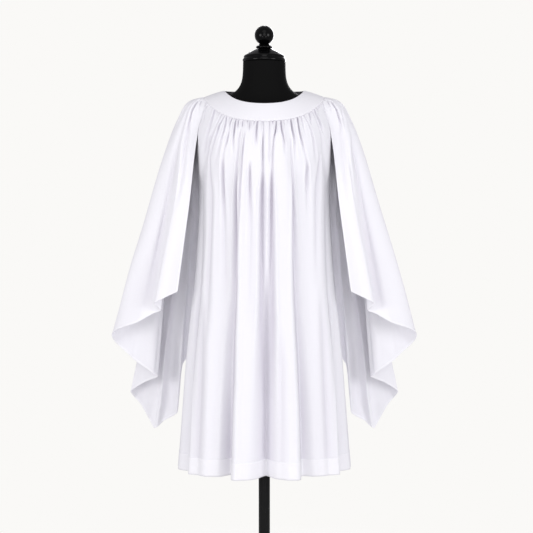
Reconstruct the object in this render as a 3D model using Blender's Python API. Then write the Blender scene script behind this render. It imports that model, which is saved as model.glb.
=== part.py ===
"""Choir surplice with a round yoke and split hanging sleeves, on a limbless dress form.

Run it with  blender --background --python part.py  or from Blender's text editor.

Units are metres, +Z is up, the garment faces -Y and its left sleeve, as it is seen from the
front, hangs at -X.  The origin lies on the floor, under the middle of the stand's base.

The garment is made of five sewn pieces: the yoke, the front, the back and two sleeves.  The front
and the back end in a doubled hem.  Every wall is a grid of points on a smooth draped surface with
its folds added, and the inner face is the same grid moved in by the cloth's thickness.
"""
import math
from typing import NamedTuple

import bmesh
import bpy
import numpy as np

# ---------------------------------------------------------------- driving dimensions
CLOTH = 0.0018             # wall of the single cloth, with its gathers pressed in
YOKE_CLOTH = 0.0024        # the yoke is two layers
SEAM_GAP = 0.0003          # between neighbouring pieces
SEAM_END_GAP = 0.0025      # the same where an armhole seam ends and the sleeve leaves the body
HEM_STEP = 0.0006          # how far the doubled hem stands proud of the single cloth
HEM_DEPTH = 0.036          # height of the turned-up hem

NECK_HALF_WIDTH = 0.110    # neckline, side to side
NECK_FRONT = 0.105         # neckline, in front of the neck's middle
NECK_BACK = 0.095
NECK_SIDE_Z = 1.4584
NECK_FRONT_DROP = 0.040
NECK_BACK_DROP = -0.004

YOKE_HALF_WIDTH = 0.166    # the yoke's sewn outer edge
YOKE_FRONT = 0.135
YOKE_BACK = 0.125
YOKE_SIDE_Z = 1.440
YOKE_FRONT_DROP = 0.070
YOKE_BACK_DROP = 0.032
YOKE_CROWN = 0.0015        # how far the yoke bows up between its edges

YOKE_SHARE = 72.0          # degrees of the yoke each side of the middle that a body panel takes
GATHER_COUNT = 38          # gathers on each body panel
GATHER_DEPTH = 0.0027      # from the middle of the cloth's wave to its crest
GATHER_SWAY = 0.12         # how far a gather leans aside, as a share of the gathers' spacing
SLEEVE_GATHERS = 8
SLEEVE_GATHER_DEPTH = 0.0032
SEAM_ROWS = (0.0, 0.05, 0.16, 0.34, 0.62, 1.0)   # rows down a sewn armhole, as shares of its length
GOLDEN = 0.618034          # its multiples, less their whole parts, spread evenly with no rhythm


class Ring(NamedTuple):
    """One level of a body panel, from the middle of the panel to its side edge."""
    name: str
    middle_z: float
    edge_z: float
    half_width: float
    depth: float
    edge_angle: float      # degrees from the panel's middle to its side edge


FRONT_RINGS = (
    Ring("yoke seam", 1.370, 1.4278, YOKE_HALF_WIDTH, YOKE_FRONT, YOKE_SHARE),
    Ring("gathers", 1.338, 1.397, 0.1775, 0.155, 69.0),
    Ring("split", 1.293, 1.334, 0.1950, 0.167, 69.0),
    Ring("armhole", 1.243, 1.263, 0.1890, 0.169, 77.0),
    Ring("underarm", 1.190, 1.190, 0.1815, 0.166, 90.0),
    Ring("waist", 1.000, 1.000, 0.1885, 0.158, 90.0),
    Ring("thigh", 0.700, 0.700, 0.2180, 0.152, 90.0),
    Ring("hem", 0.400, 0.400, 0.2415, 0.148, 90.0),
)
BACK_RINGS = (
    Ring("yoke seam", 1.408, 1.4344, YOKE_HALF_WIDTH, YOKE_BACK, YOKE_SHARE),
    Ring("gathers", 1.372, 1.405, 0.1775, 0.140, 69.0),
    Ring("shoulder blade", 1.310, 1.338, 0.1950, 0.150, 68.0),
    Ring("armhole", 1.243, 1.255, 0.1890, 0.152, 75.0),
    Ring("underarm", 1.190, 1.190, 0.1815, 0.150, 90.0),
    Ring("waist", 1.000, 1.000, 0.1885, 0.146, 90.0),
    Ring("thigh", 0.700, 0.700, 0.2180, 0.148, 90.0),
    Ring("hem", 0.400, 0.400, 0.2415, 0.150, 90.0),
)


class Fold(NamedTuple):
    """A fold line of a body panel: where it runs, and how far out it stands, at three levels.

    place is degrees round the ring from the panel's middle, plus to +X.  out is millimetres.
    cloth is the fold's share of the panel's width, which keeps its own place in the cloth.
    """
    name: str
    cloth: float
    chest_place: float
    chest_out: float
    waist_place: float
    waist_out: float
    hem_place: float
    hem_out: float


FRONT_FOLDS = (
    Fold("left side seam", -1.00, -90, 0, -90, 0, -90, 0),
    Fold("left side crest", -0.93, -80, 2, -80, 4, -80, 2),
    Fold("left side valley", -0.84, -71, -1, -69, -6, -66, -20),
    Fold("left pleat edge", -0.76, -61, 3, -59, 5, -58, 5),
    Fold("left broad crest", -0.62, -48, 4, -47, 6, -46, 14),
    Fold("left broad valley", -0.47, -38, -5, -36, -5, -32, -3),
    Fold("left lobe valley", -0.33, -26, -5, -27, -9, -24, -18),
    Fold("left lobe edge", -0.26, -20, 4, -22, 6, -21, 22),
    Fold("left lobe", -0.16, -12, 3, -13, 6, -14, 28),
    Fold("left lobe slope", -0.08, -5, 3, -6, 4, -6, 8),
    Fold("middle valley", 0.00, 1, -5, 2, -8, 1, -18),
    Fold("right lobe slope", 0.09, 9, 3, 9, 5, 8, 8),
    Fold("right lobe", 0.17, 15, 4, 15, 8, 16, 28),
    Fold("right lobe edge", 0.27, 21, 4, 23, 6, 23, 22),
    Fold("right lobe valley", 0.34, 27, -5, 28, -9, 27, -8),
    Fold("right broad valley", 0.47, 39, -5, 38, -5, 36, -3),
    Fold("right broad crest", 0.62, 49, 4, 48, 6, 46, 14),
    Fold("right pleat edge", 0.76, 62, 3, 59, 5, 58, 5),
    Fold("right side valley", 0.84, 71, -1, 69, -6, 66, -20),
    Fold("right side crest", 0.93, 80, 2, 80, 4, 80, 2),
    Fold("right side seam", 1.00, 90, 0, 90, 0, 90, 0),
)
BACK_FOLDS = (
    Fold("left side seam", -1.00, -90, 0, -90, 0, -90, 0),
    Fold("left side crest", -0.89, -79, 1, -79, 3, -79, 6),
    Fold("left side valley", -0.77, -66, -2, -67, -4, -67, -14),
    Fold("left outer crest", -0.63, -55, 3, -56, 5, -56, 16),
    Fold("left outer valley", -0.49, -43, -3, -44, -6, -43, -14),
    Fold("left inner crest", -0.34, -30, 3, -31, 6, -31, 20),
    Fold("left inner valley", -0.20, -18, -4, -18, -6, -18, -12),
    Fold("left middle crest", -0.09, -8, 2, -8, 4, -9, 16),
    Fold("middle valley", 0.03, 2, -3, 2, -5, 3, -14),
    Fold("right middle crest", 0.16, 13, 3, 14, 6, 14, 20),
    Fold("right inner valley", 0.29, 25, -4, 26, -6, 25, -13),
    Fold("right inner crest", 0.42, 37, 3, 37, 5, 38, 18),
    Fold("right outer valley", 0.55, 48, -3, 49, -5, 49, -14),
    Fold("right outer crest", 0.68, 60, 3, 60, 5, 61, 14),
    Fold("right side valley", 0.81, 71, -2, 72, -4, 71, -12),
    Fold("right side crest", 0.91, 81, 1, 81, 3, 81, 6),
    Fold("right side seam", 1.00, 90, 0, 90, 0, 90, 0),
)


class SleeveFold(NamedTuple):
    """A fold line of the hanging sleeve at -X, from the front edge round to the back edge.

    turn is degrees round the shoulder from the front.  The hem columns are millimetres.
    """
    name: str
    turn: float
    hem_x: float
    hem_y: float
    hem_z: float


SLEEVE_FOLDS = (
    SleeveFold("front edge", 0, -238, -80, 905),
    SleeveFold("front face", 13, -275, -95, 889),
    SleeveFold("small crest", 24, -303, -87, 873),
    SleeveFold("small valley", 33, -298, -67, 856),
    SleeveFold("valley end", 42, -313, -54, 840),
    SleeveFold("outer face", 58, -352, -58, 818),
    SleeveFold("outer fold", 84, -428, -18, 781),
    SleeveFold("return face", 101, -372, 22, 707),
    SleeveFold("inner fold", 112, -310, 42, 660),
    SleeveFold("inner turn", 118, -305, 58, 649),
    SleeveFold("second face", 127, -346, 77, 631),
    SleeveFold("second fold", 137, -388, 98, 602),
    SleeveFold("drop face", 145, -358, 120, 559),
    SleeveFold("point", 152, -321, 130, 489),
    SleeveFold("back face", 159, -291, 124, 513),
    SleeveFold("back fold", 166, -254, 108, 536),
    SleeveFold("underside", 171, -242, 121, 610),
    SleeveFold("underside bend", 176, -229, 129, 692),
    SleeveFold("back edge", 180, -212, 131, 716),
)
SHOULDER_CENTRE_X = 0.180      # middle of the ring that the sleeve makes round the shoulder
SHOULDER_OUT = 0.062           # from there to the sleeve's outermost fold
SHOULDER_DEPTH = 0.070
SHOULDER_Z = 1.378
CAP_OUT = 0.031                # the same ring half-way up to the yoke
CAP_DEPTH = 0.059
CAP_Z = 1.4265
SLEEVE_BOW = 0.005             # how far the long folds bow out between shoulder and hem
SLEEVE_KNOTS = (0.0, 0.10, 0.22, 0.58, 1.0)   # yoke, cap, shoulder, elbow and hem, down the cloth


class FormRing(NamedTuple):
    """One level of the dress form's torso."""
    z: float
    half_width: float
    front: float
    back: float


FORM_RINGS = (
    FormRing(0.762, 0.120, 0.085, 0.088),
    FormRing(0.770, 0.150, 0.104, 0.108),
    FormRing(0.790, 0.164, 0.114, 0.120),
    FormRing(0.880, 0.168, 0.115, 0.124),
    FormRing(0.980, 0.152, 0.108, 0.112),
    FormRing(1.070, 0.144, 0.106, 0.102),
    FormRing(1.160, 0.158, 0.118, 0.112),
    FormRing(1.230, 0.168, 0.127, 0.118),
    FormRing(1.290, 0.176, 0.128, 0.120),
    FormRing(1.340, 0.184, 0.122, 0.117),
    FormRing(1.376, 0.187, 0.112, 0.109),
    FormRing(1.398, 0.182, 0.096, 0.097),
    FormRing(1.413, 0.170, 0.083, 0.089),
    FormRing(1.426, 0.148, 0.073, 0.082),
    FormRing(1.438, 0.118, 0.067, 0.076),
    FormRing(1.449, 0.093, 0.064, 0.071),
    FormRing(1.465, 0.073, 0.063, 0.066),
    FormRing(1.484, 0.0635, 0.0625, 0.0625),
    FormRing(1.510, 0.0598, 0.0598, 0.0598),
    FormRing(1.5385, 0.0590, 0.0590, 0.0590),
)
FORM_SIDES = 36


class TurnPoint(NamedTuple):
    """A point of a turned profile."""
    radius: float
    z: float


CAP_PROFILE = (
    TurnPoint(0.0560, 1.5388),
    TurnPoint(0.0592, 1.5405),
    TurnPoint(0.0600, 1.5440),
    TurnPoint(0.0588, 1.5475),
    TurnPoint(0.0572, 1.5492),
    TurnPoint(0.0572, 1.5585),
    TurnPoint(0.0540, 1.5622),
    TurnPoint(0.0380, 1.5695),
    TurnPoint(0.0200, 1.5752),
)
CAP_SIDES = 28
FINIAL_COLLAR = (
    TurnPoint(0.0170, 1.5755),
    TurnPoint(0.0215, 1.5770),
    TurnPoint(0.0226, 1.5795),
    TurnPoint(0.0200, 1.5830),
    TurnPoint(0.0158, 1.5855),
    TurnPoint(0.0150, 1.5875),
)
BALL_RADIUS = 0.0268
BALL_Z = 1.6122
BALL_STEPS = 8
FINIAL_SIDES = 20

POLE_RADIUS = 0.016
POLE_SIDES = 20
BASE_RADIUS = 0.190
BASE_HEIGHT = 0.014
BASE_LIP = 0.004           # bevelled top edge of the base plate
SOCKET_RADIUS = 0.026      # collar that holds the pole on the base
SOCKET_HEIGHT = 0.045
BASE_SIDES = 48


class Paint(NamedTuple):
    """A material of the part."""
    name: str
    colour: tuple
    roughness: float
    metallic: float


WHITE_CLOTH = Paint("white_cloth", (0.92, 0.92, 0.94, 1.0), 0.75, 0.0)
BLACK_JERSEY = Paint("black_jersey", (0.012, 0.012, 0.012, 1.0), 0.70, 0.0)
BLACK_LACQUER = Paint("black_lacquer", (0.006, 0.006, 0.006, 1.0), 0.18, 0.0)
BLACK_STEEL = Paint("black_steel", (0.02, 0.02, 0.02, 1.0), 0.35, 0.6)


# ---------------------------------------------------------------- curves
def smooth_through(knots, values, at, level_turns=False):
    """Values at the places asked, on a smooth curve through the given knots (cubic Hermite).

    With level_turns the curve never swings past the values that it is given.
    """
    knots = np.asarray(knots, float)
    values = np.asarray(values, float)
    at = np.asarray(at, float)
    extra = (1,) * (values.ndim - 1)
    steps = np.diff(knots)
    slopes = np.diff(values, axis=0) / steps.reshape(-1, *extra)
    inner = (slopes[:-1] * steps[1:].reshape(-1, *extra) + slopes[1:] * steps[:-1].reshape(-1, *extra))
    inner = inner / (steps[1:] + steps[:-1]).reshape(-1, *extra)
    if level_turns:
        steepest = 2 * np.minimum(abs(slopes[:-1]), abs(slopes[1:]))
        inner = np.where(slopes[:-1] * slopes[1:] > 0, np.clip(inner, -steepest, steepest), 0.0)
    tangents = np.concatenate([slopes[:1], inner, slopes[-1:]])
    i = np.clip(np.searchsorted(knots, at, side="right") - 1, 0, len(steps) - 1)
    h = steps[i].reshape(-1, *extra)
    s = ((at - knots[i]) / steps[i]).reshape(-1, *extra)
    start = (1 + 2 * s) * (1 - s) ** 2 * values[i] + s * (1 - s) ** 2 * h * tangents[i]
    end = s * s * (3 - 2 * s) * values[i + 1] + s * s * (s - 1) * h * tangents[i + 1]
    return start + end


def ease(x):
    """0 before 0, 1 after 1, and a smooth step between."""
    x = np.clip(x, 0.0, 1.0)
    return x * x * (3 - 2 * x)


def shoulder_drop(cosine):
    """How far a ring over the shoulders has come down, from 0 at the side to 1 in the middle."""
    c = np.clip(cosine, 0.0, 1.0)
    return 0.5 * ease(c) + 0.5 * c ** 1.8


def normalised(vectors):
    return vectors / np.maximum(np.linalg.norm(vectors, axis=-1, keepdims=True), 1e-12)


def grid_normals(points, outward):
    """Unit normals of a grid of points, turned to the side that the outward vectors show."""
    across = np.gradient(points, axis=1)
    down = np.gradient(points, axis=0)
    normals = normalised(np.cross(across, down))
    side = np.sign((normals * outward).sum(axis=-1, keepdims=True))
    return normals * np.where(side == 0, 1, side)


def radial(points, centre_x=0.0):
    """Vectors out from an upright axis, with a small lift so that they also serve on shoulders."""
    out = points - np.array([centre_x, 0.0, 0.0])
    out[..., 2] = 0.05
    return normalised(out)


# ---------------------------------------------------------------- the yoke
def yoke_point(degrees, share):
    """A point of the yoke: share 0 is the neckline, 1 the sewn outer edge; 0 degrees is the front."""
    angle = np.radians(degrees)
    s, c = np.sin(angle), np.cos(angle)
    front = c >= 0
    neck = np.stack([
        NECK_HALF_WIDTH * s,
        -np.where(front, NECK_FRONT, NECK_BACK) * c,
        NECK_SIDE_Z - np.where(front, NECK_FRONT_DROP, NECK_BACK_DROP) * shoulder_drop(abs(c)),
    ], axis=-1)
    edge = np.stack([
        YOKE_HALF_WIDTH * s,
        -np.where(front, YOKE_FRONT, YOKE_BACK) * c,
        YOKE_SIDE_Z - np.where(front, YOKE_FRONT_DROP, YOKE_BACK_DROP) * shoulder_drop(abs(c)),
    ], axis=-1)
    share = np.asarray(share, float)[..., None]
    flat = neck + (edge - neck) * share
    lift = np.stack([0.3 * s, -0.3 * c, np.full_like(s, 0.95)], axis=-1)
    return flat + lift * YOKE_CROWN * 4 * share * (1 - share)


def yoke_normal(degrees, share):
    """The yoke's outward unit normal, from nearby points of its surface."""
    step = 0.5
    across = yoke_point(degrees + step, share) - yoke_point(degrees - step, share)
    down = yoke_point(degrees, share + 0.01) - yoke_point(degrees, share - 0.01)
    normals = normalised(np.cross(down, across))
    return normals * np.where(normals[..., 2:] < 0, -1, 1)


# ---------------------------------------------------------------- front and back panels
class Panel:
    """A gathered body panel: the front (facing -1) or the back (facing +1)."""

    def __init__(self, facing, rings, folds):
        self.facing = facing
        self.rings = rings
        self.folds = folds
        drops = [0.0]
        for above, below in zip(rings, rings[1:]):
            drops.append(drops[-1] + math.hypot(below.depth - above.depth, below.middle_z - above.middle_z))
        self.knots = np.array(drops) / drops[-1]
        self.length = drops[-1]

    def level(self, name):
        """How far down the panel a ring lies, from 0 at the yoke to 1 at the hem."""
        return self.knots[[ring.name for ring in self.rings].index(name)]

    def column(self, down, what):
        values = [getattr(ring, what) for ring in self.rings]
        return smooth_through(self.knots, values, down, level_turns=True)

    def base(self, across, down):
        """Points of the unfolded panel; across runs from -1 to 1 between its side edges."""
        across, down = np.broadcast_arrays(np.asarray(across, float), np.asarray(down, float))
        flat_down = down.ravel()
        part = {what: self.column(flat_down, what).reshape(down.shape)
                for what in ("middle_z", "edge_z", "half_width", "depth", "edge_angle")}
        edge = np.radians(part["edge_angle"])
        angle = edge * across
        rise = (1 - shoulder_drop(np.cos(angle))) / (1 - shoulder_drop(np.cos(edge)))
        return np.stack([
            part["half_width"] * np.sin(angle),
            self.facing * part["depth"] * np.cos(angle),
            part["middle_z"] + (part["edge_z"] - part["middle_z"]) * rise,
        ], axis=-1)

    def base_normals(self, across, down):
        step = 0.004
        along = self.base(across + step, down) - self.base(across - step, down)
        inside = np.clip(down, step, 1 - step)
        fall = self.base(across, inside + step) - self.base(across, inside - step)
        normals = normalised(np.cross(along, fall))
        points = self.base(across, down)
        side = np.sign((normals * radial(points)).sum(axis=-1, keepdims=True))
        return normals * side

    def fold_line(self, cloth, down):
        """Where a strand of the cloth lies: its place across the base, and how far out it stands."""
        chest, waist = self.level("armhole"), self.level("waist")
        levels = (0.0, chest, waist, 1.0)
        names = ("chest", "chest", "waist", "hem")
        threads = [fold.cloth for fold in self.folds]
        places, outs = [], []
        for i, name in enumerate(names):
            grow = 0.0 if i == 0 else 1.0
            places.append(smooth_through(threads, [getattr(f, name + "_place") / 90 for f in self.folds], cloth))
            outs.append(smooth_through(threads, [getattr(f, name + "_out") * 0.001 * grow for f in self.folds], cloth))
        place = smooth_through(levels, np.array(places), down)
        out = smooth_through(levels, np.array(outs), down)
        return place, out

    def gathers(self, cloth, down):
        """The fine gathers under the yoke, each with its own depth, length and lean.

        Returns how far out and how far aside they move the cloth.
        """
        wave = (cloth + 1) / 2 * GATHER_COUNT
        number = np.floor(wave)
        depth = 0.65 + 0.7 * ((number * GOLDEN) % 1)
        length = 0.05 + 0.12 * ((number * GOLDEN * 3) % 1) ** 2
        fade = (1 - ease(down[:, None] / length[None, :])) * ease(down[:, None] / 0.008)
        edge = ease((1 - abs(cloth)) / 0.03)
        out = GATHER_DEPTH * fade * (depth * edge * np.cos(2 * math.pi * wave))[None, :]
        lean = np.sin(2 * math.pi * GOLDEN * number) * edge * GATHER_SWAY * 2 / GATHER_COUNT
        return out, fade * lean[None, :]

    def points(self, cloth, down, with_gathers):
        """A grid of the folded panel: a row for each place down, a column for each thread."""
        place, out = self.fold_line(cloth, down)
        if with_gathers:
            wave, lean = self.gathers(cloth, down)
            out, place = out + wave, place + lean
        rows = np.broadcast_to(down[:, None], place.shape)
        return self.base(place, rows) + self.base_normals(place, rows) * out[..., None]


FRONT = Panel(-1, FRONT_RINGS, FRONT_FOLDS)
BACK = Panel(1, BACK_RINGS, BACK_FOLDS)


def armhole_normal(points):
    """The way the cloth's thickness runs along an armhole seam, the same for both of its pieces."""
    side = np.sign(points[..., :1])
    out = points * np.array([1.0, 1.0, 0.0]) - side * np.array([0.105, 0.0, 0.0])
    out[..., 2] = 0.035
    return normalised(out)


# ---------------------------------------------------------------- sleeves
def armhole(panel, reach, share):
    """Points one seam gap outside a panel's armhole edge at -X, share of the way down to its end."""
    gap = SEAM_GAP + (SEAM_END_GAP - SEAM_GAP) * share ** 3
    return panel.base(-1 - gap / 0.2, reach * share)


def sleeve_points(turn_share, down):
    """A grid of the sleeve at -X: a column for each share of the way round, a row for each place down."""
    count = len(SLEEVE_FOLDS)
    lines = np.arange(count) / (count - 1)
    turn = np.radians([fold.turn for fold in SLEEVE_FOLDS])
    hem = np.array([(fold.hem_x, fold.hem_y, fold.hem_z) for fold in SLEEVE_FOLDS]) * 0.001
    yoke = yoke_point(-(YOKE_SHARE + (180 - 2 * YOKE_SHARE) * lines), np.ones(count))

    def shoulder_ring(out, depth, z, front_z, back_z):
        sag = np.where(turn < math.pi / 2, front_z, back_z)
        height = z + (sag - z) * np.cos(turn) ** 2
        return np.stack([-(SHOULDER_CENTRE_X + out * np.sin(turn)), -depth * np.cos(turn), height], axis=-1)

    cap = shoulder_ring(CAP_OUT, CAP_DEPTH, CAP_Z, 1.397, 1.392)
    cap[:, 0] += 0.012 * np.cos(turn) ** 2
    shoulder = shoulder_ring(SHOULDER_OUT, SHOULDER_DEPTH, SHOULDER_Z, 1.334, 1.262)
    spread = (SLEEVE_KNOTS[3] - SLEEVE_KNOTS[2]) / (1 - SLEEVE_KNOTS[2])
    elbow = shoulder + (hem - shoulder) * spread
    elbow[:, 0] -= SLEEVE_BOW * np.sin(turn)
    rings = np.stack([yoke, cap, shoulder, elbow, hem])
    columns = np.moveaxis(smooth_through(lines, np.moveaxis(rings, 1, 0), turn_share), 1, 0)
    grid = smooth_through(SLEEVE_KNOTS, columns, down)
    return fit_to_armholes(grid, turn_share, down)


def fit_to_armholes(grid, turn_share, down):
    """The sewn parts of the sleeve's two edges are brought onto the armholes of the body."""
    shoulder = SLEEVE_KNOTS[2]
    for panel, level, edge, near in (
        (FRONT, "split", 0, 1 - turn_share),
        (BACK, "armhole", -1, turn_share),
    ):
        sewn = down <= shoulder + 1e-9
        reach = panel.level(level)
        move = np.zeros((len(down), 3))
        move[sewn] = armhole(panel, reach, down[sewn] / shoulder) - grid[sewn, edge]
        free = ~sewn
        move[free] = move[sewn][-1] * (1 - ease((down[free, None] - shoulder) / 0.35))
        grid = grid + move[:, None, :] * ease((near - 0.55) / 0.45)[None, :, None]
    return grid


def sleeve_gathers(turn_share, down):
    """The gathers over the shoulder, which run out above the elbow."""
    number = np.floor(turn_share * SLEEVE_GATHERS)
    length = 0.10 + 0.12 * ((number * GOLDEN * 2) % 1)
    fade = (1 - ease(down[:, None] / length[None, :])) * ease(down[:, None] / 0.02)
    edge = ease(turn_share / 0.05) * ease((1 - turn_share) / 0.05)
    wave = np.cos(2 * math.pi * SLEEVE_GATHERS * turn_share) * edge
    return SLEEVE_GATHER_DEPTH * fade * wave[None, :]


# ---------------------------------------------------------------- meshes
def clear_scene():
    for obj in list(bpy.data.objects):
        bpy.data.objects.remove(obj)


def material(paint):
    """The Principled material of that paint, made once."""
    found = bpy.data.materials.get(paint.name)
    if found:
        return found
    made = bpy.data.materials.new(paint.name)
    made.use_nodes = True
    shader = made.node_tree.nodes["Principled BSDF"]
    shader.inputs["Base Color"].default_value = paint.colour
    shader.inputs["Roughness"].default_value = paint.roughness
    shader.inputs["Metallic"].default_value = paint.metallic
    made.diffuse_color = paint.colour
    return made


def add_object(name, bm, paint, sharp_degrees=40):
    """Turns a bmesh into a named, smooth-shaded object."""
    bmesh.ops.recalc_face_normals(bm, faces=bm.faces)
    mesh = bpy.data.meshes.new(name)
    bm.to_mesh(mesh)
    bm.free()
    mesh.shade_smooth()
    mesh.set_sharp_from_angle(angle=math.radians(sharp_degrees))
    mesh.materials.append(material(paint))
    obj = bpy.data.objects.new(name, mesh)
    bpy.context.scene.collection.objects.link(obj)
    return obj


def join_rows(bm, upper, lower, closed):
    """Faces between two rows of vertices; the upper row may have twice the lower one's steps."""
    turns = len(lower) if closed else len(lower) - 1
    doubled = len(upper) > len(lower)
    for i in range(turns):
        a, b = lower[i], lower[(i + 1) % len(lower)]
        if doubled:
            start, middle, end = upper[2 * i], upper[2 * i + 1], upper[(2 * i + 2) % len(upper)]
            bm.faces.new((start, a, middle))
            bm.faces.new((middle, a, b))
            bm.faces.new((middle, b, end))
        else:
            bm.faces.new((upper[i], a, b, upper[(i + 1) % len(upper)]))


def add_wall(name, outer_rows, inner_rows, paint, closed=False):
    """A closed wall between two sheets of points, each a list of rows."""
    bm = bmesh.new()
    outer = [[bm.verts.new(p) for p in row] for row in outer_rows]
    inner = [[bm.verts.new(p) for p in row] for row in inner_rows]
    for sheet in (outer, inner):
        for upper, lower in zip(sheet, sheet[1:]):
            join_rows(bm, upper, lower, closed)
    for row in (0, -1):
        join_rows(bm, outer[row], inner[row], closed)
    if not closed:
        for column in (0, -1):
            join_rows(bm, [row[column] for row in outer], [row[column] for row in inner], False)
    return add_object(name, bm, paint)


def add_turned(name, sections, paint, sharp_degrees=40):
    """A closed body through rings of points, with flat ends."""
    bm = bmesh.new()
    rings = [[bm.verts.new(p) for p in section] for section in sections]
    for lower, upper in zip(rings, rings[1:]):
        join_rows(bm, upper, lower, True)
    bm.faces.new(rings[0])
    bm.faces.new(rings[-1])
    return add_object(name, bm, paint, sharp_degrees)


def circle(radius, z, sides):
    angle = 2 * math.pi * np.arange(sides) / sides
    return np.stack([radius * np.cos(angle), radius * np.sin(angle), np.full(sides, z)], axis=-1)


# ---------------------------------------------------------------- pieces
def build_yoke():
    """The round yoke, its neck edge rolled and its outer edge one seam gap short of the gathers."""
    steps = 100
    degrees = np.arange(steps) * 360 / steps
    outer_rows, inner_rows = [], []
    short = SEAM_GAP / 0.058
    for share, thick in ((0.0, 0.0012), (0.035, YOKE_CLOTH), (0.5, YOKE_CLOTH), (1 - short, YOKE_CLOTH)):
        shares = np.full(steps, share)
        points = yoke_point(degrees, shares)
        normals = yoke_normal(degrees, np.clip(shares, 0.02, 0.98))
        sink = (YOKE_CLOTH - thick) / 2
        outer_rows.append(points - normals * sink)
        inner_rows.append(points - normals * (sink + thick))
    add_wall("yoke", outer_rows, inner_rows, WHITE_CLOTH, closed=True)


def panel_grid(panel, down, cloth, sewn_to):
    """Outer points of a body panel, and the way that its thickness runs at each of them."""
    outer = panel.points(cloth, down, with_gathers=True)
    normals = grid_normals(outer, radial(outer))
    armhole_rows = down <= sewn_to + 1e-9
    side_rows = down >= panel.level("underarm") - 1e-9
    for edge, side in ((0, -1.0), (-1, 1.0)):
        normals[armhole_rows, edge] = armhole_normal(outer[armhole_rows, edge])
        normals[side_rows, edge] = (side, 0.0, 0.0)
    depth = YOKE_FRONT if panel.facing < 0 else YOKE_BACK
    top_degrees = np.degrees(np.arctan2(outer[0, :, 0] / YOKE_HALF_WIDTH, -outer[0, :, 1] / depth))
    normals[0] = yoke_normal(top_degrees, np.full(len(top_degrees), 0.98))
    return outer, normals


def build_panel(name, panel, sewn_to):
    """A body panel: fine threads where it is gathered, half as many below, and its doubled hem.

    sewn_to is the ring down to which the sleeve is sewn into this panel's armhole.
    """
    side_gap = 0.5 * SEAM_GAP / 0.28
    threads = np.linspace(-1 + side_gap, 1 - side_gap, 2 * GATHER_COUNT + 1)
    sewn = panel.level(sewn_to)
    underarm = panel.level("underarm")
    hem_top = 1 - HEM_DEPTH / panel.length
    fine = [sewn * row for row in SEAM_ROWS]
    if sewn < panel.level("armhole"):
        fine.append(panel.level("armhole"))
    coarse = [underarm, 0.27, 0.36, 0.46, 0.57, 0.69, 0.82, hem_top - 0.002, hem_top, 1.0]
    outer_rows, inner_rows = [], []
    down = np.array(fine + coarse)
    outer, normals = panel_grid(panel, down, threads, sewn)
    for i, place in enumerate(down):
        pick = slice(None) if i < len(fine) else slice(None, None, 2)
        proud = HEM_STEP if place >= hem_top else 0.0
        outer_rows.append(outer[i, pick] + normals[i, pick] * proud)
        inner_rows.append(outer[i, pick] - normals[i, pick] * CLOTH)
    add_wall(name, outer_rows, inner_rows, WHITE_CLOTH)


def build_sleeve(name, side):
    """A hanging sleeve: sewn over the shoulder, free in front and behind; side is -1 or 1."""
    columns = np.linspace(0, 1, 2 * len(SLEEVE_FOLDS) - 1)
    sewn_rows = [SLEEVE_KNOTS[2] * row for row in SEAM_ROWS]
    down = np.array(sewn_rows + [0.31, 0.41, 0.51, 0.61, 0.71, 0.81, 0.90, 1.0])
    outer = sleeve_points(columns, down)
    normals = grid_normals(outer, radial(outer, -SHOULDER_CENTRE_X))
    normals = turn_with_first_column(normals)
    outer = outer + normals * sleeve_gathers(columns, down)[..., None]
    sewn = down <= SLEEVE_KNOTS[2] + 1e-9
    for edge in (0, -1):
        normals[sewn, edge] = armhole_normal(outer[sewn, edge])
    yoke_degrees = -(YOKE_SHARE + (180 - 2 * YOKE_SHARE) * columns)
    normals[0] = yoke_normal(yoke_degrees, np.full(len(columns), 0.98))
    inner = outer - normals * CLOTH
    flip = np.array([-side, 1.0, 1.0])
    add_wall(name, list(outer * flip), list(inner * flip), WHITE_CLOTH)


def turn_with_first_column(normals):
    """Keeps the normals on one face of the cloth all the way round its folds."""
    turned = normals.copy()
    for i in range(1, turned.shape[1]):
        against = (turned[:, i] * turned[:, i - 1]).sum(axis=-1, keepdims=True) < 0
        turned[:, i] *= np.where(against, -1, 1)
    return turned


def build_form():
    """The torso of the dress form, from hips to neck."""
    angle = 2 * math.pi * np.arange(FORM_SIDES) / FORM_SIDES
    sections = []
    for ring in FORM_RINGS:
        depth = np.where(np.sin(angle) < 0, ring.front, ring.back)
        sections.append(np.stack([
            ring.half_width * np.cos(angle), depth * np.sin(angle), np.full(FORM_SIDES, ring.z)], axis=-1))
    add_turned("form_torso", sections, BLACK_JERSEY, sharp_degrees=60)


def build_cap():
    sections = [circle(p.radius, p.z, CAP_SIDES) for p in CAP_PROFILE]
    add_turned("form_neck_cap", sections, BLACK_LACQUER, sharp_degrees=30)


def build_finial():
    profile = list(FINIAL_COLLAR)
    low = math.asin((FINIAL_COLLAR[-1].z - BALL_Z) / BALL_RADIUS)
    for i in range(1, BALL_STEPS):
        tilt = low + (math.pi / 2 - low) * i / BALL_STEPS
        profile.append(TurnPoint(BALL_RADIUS * math.cos(tilt), BALL_Z + BALL_RADIUS * math.sin(tilt)))
    sections = [circle(p.radius, p.z, FINIAL_SIDES) for p in profile]
    sections.append(circle(0.002, BALL_Z + BALL_RADIUS, FINIAL_SIDES))
    add_turned("form_finial", sections, BLACK_LACQUER)


def build_stand():
    """The pole and the round base that it stands in."""
    pole_bottom = BASE_HEIGHT + SEAM_GAP
    pole = [circle(POLE_RADIUS, z, POLE_SIDES) for z in (pole_bottom, FORM_RINGS[0].z - SEAM_GAP)]
    add_turned("stand_pole", pole, BLACK_STEEL)
    base = [circle(BASE_RADIUS, z, BASE_SIDES) for z in (0.0, BASE_HEIGHT - BASE_LIP)]
    base.append(circle(BASE_RADIUS - BASE_LIP, BASE_HEIGHT, BASE_SIDES))
    add_turned("stand_base", base, BLACK_STEEL, sharp_degrees=30)
    build_socket()


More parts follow.
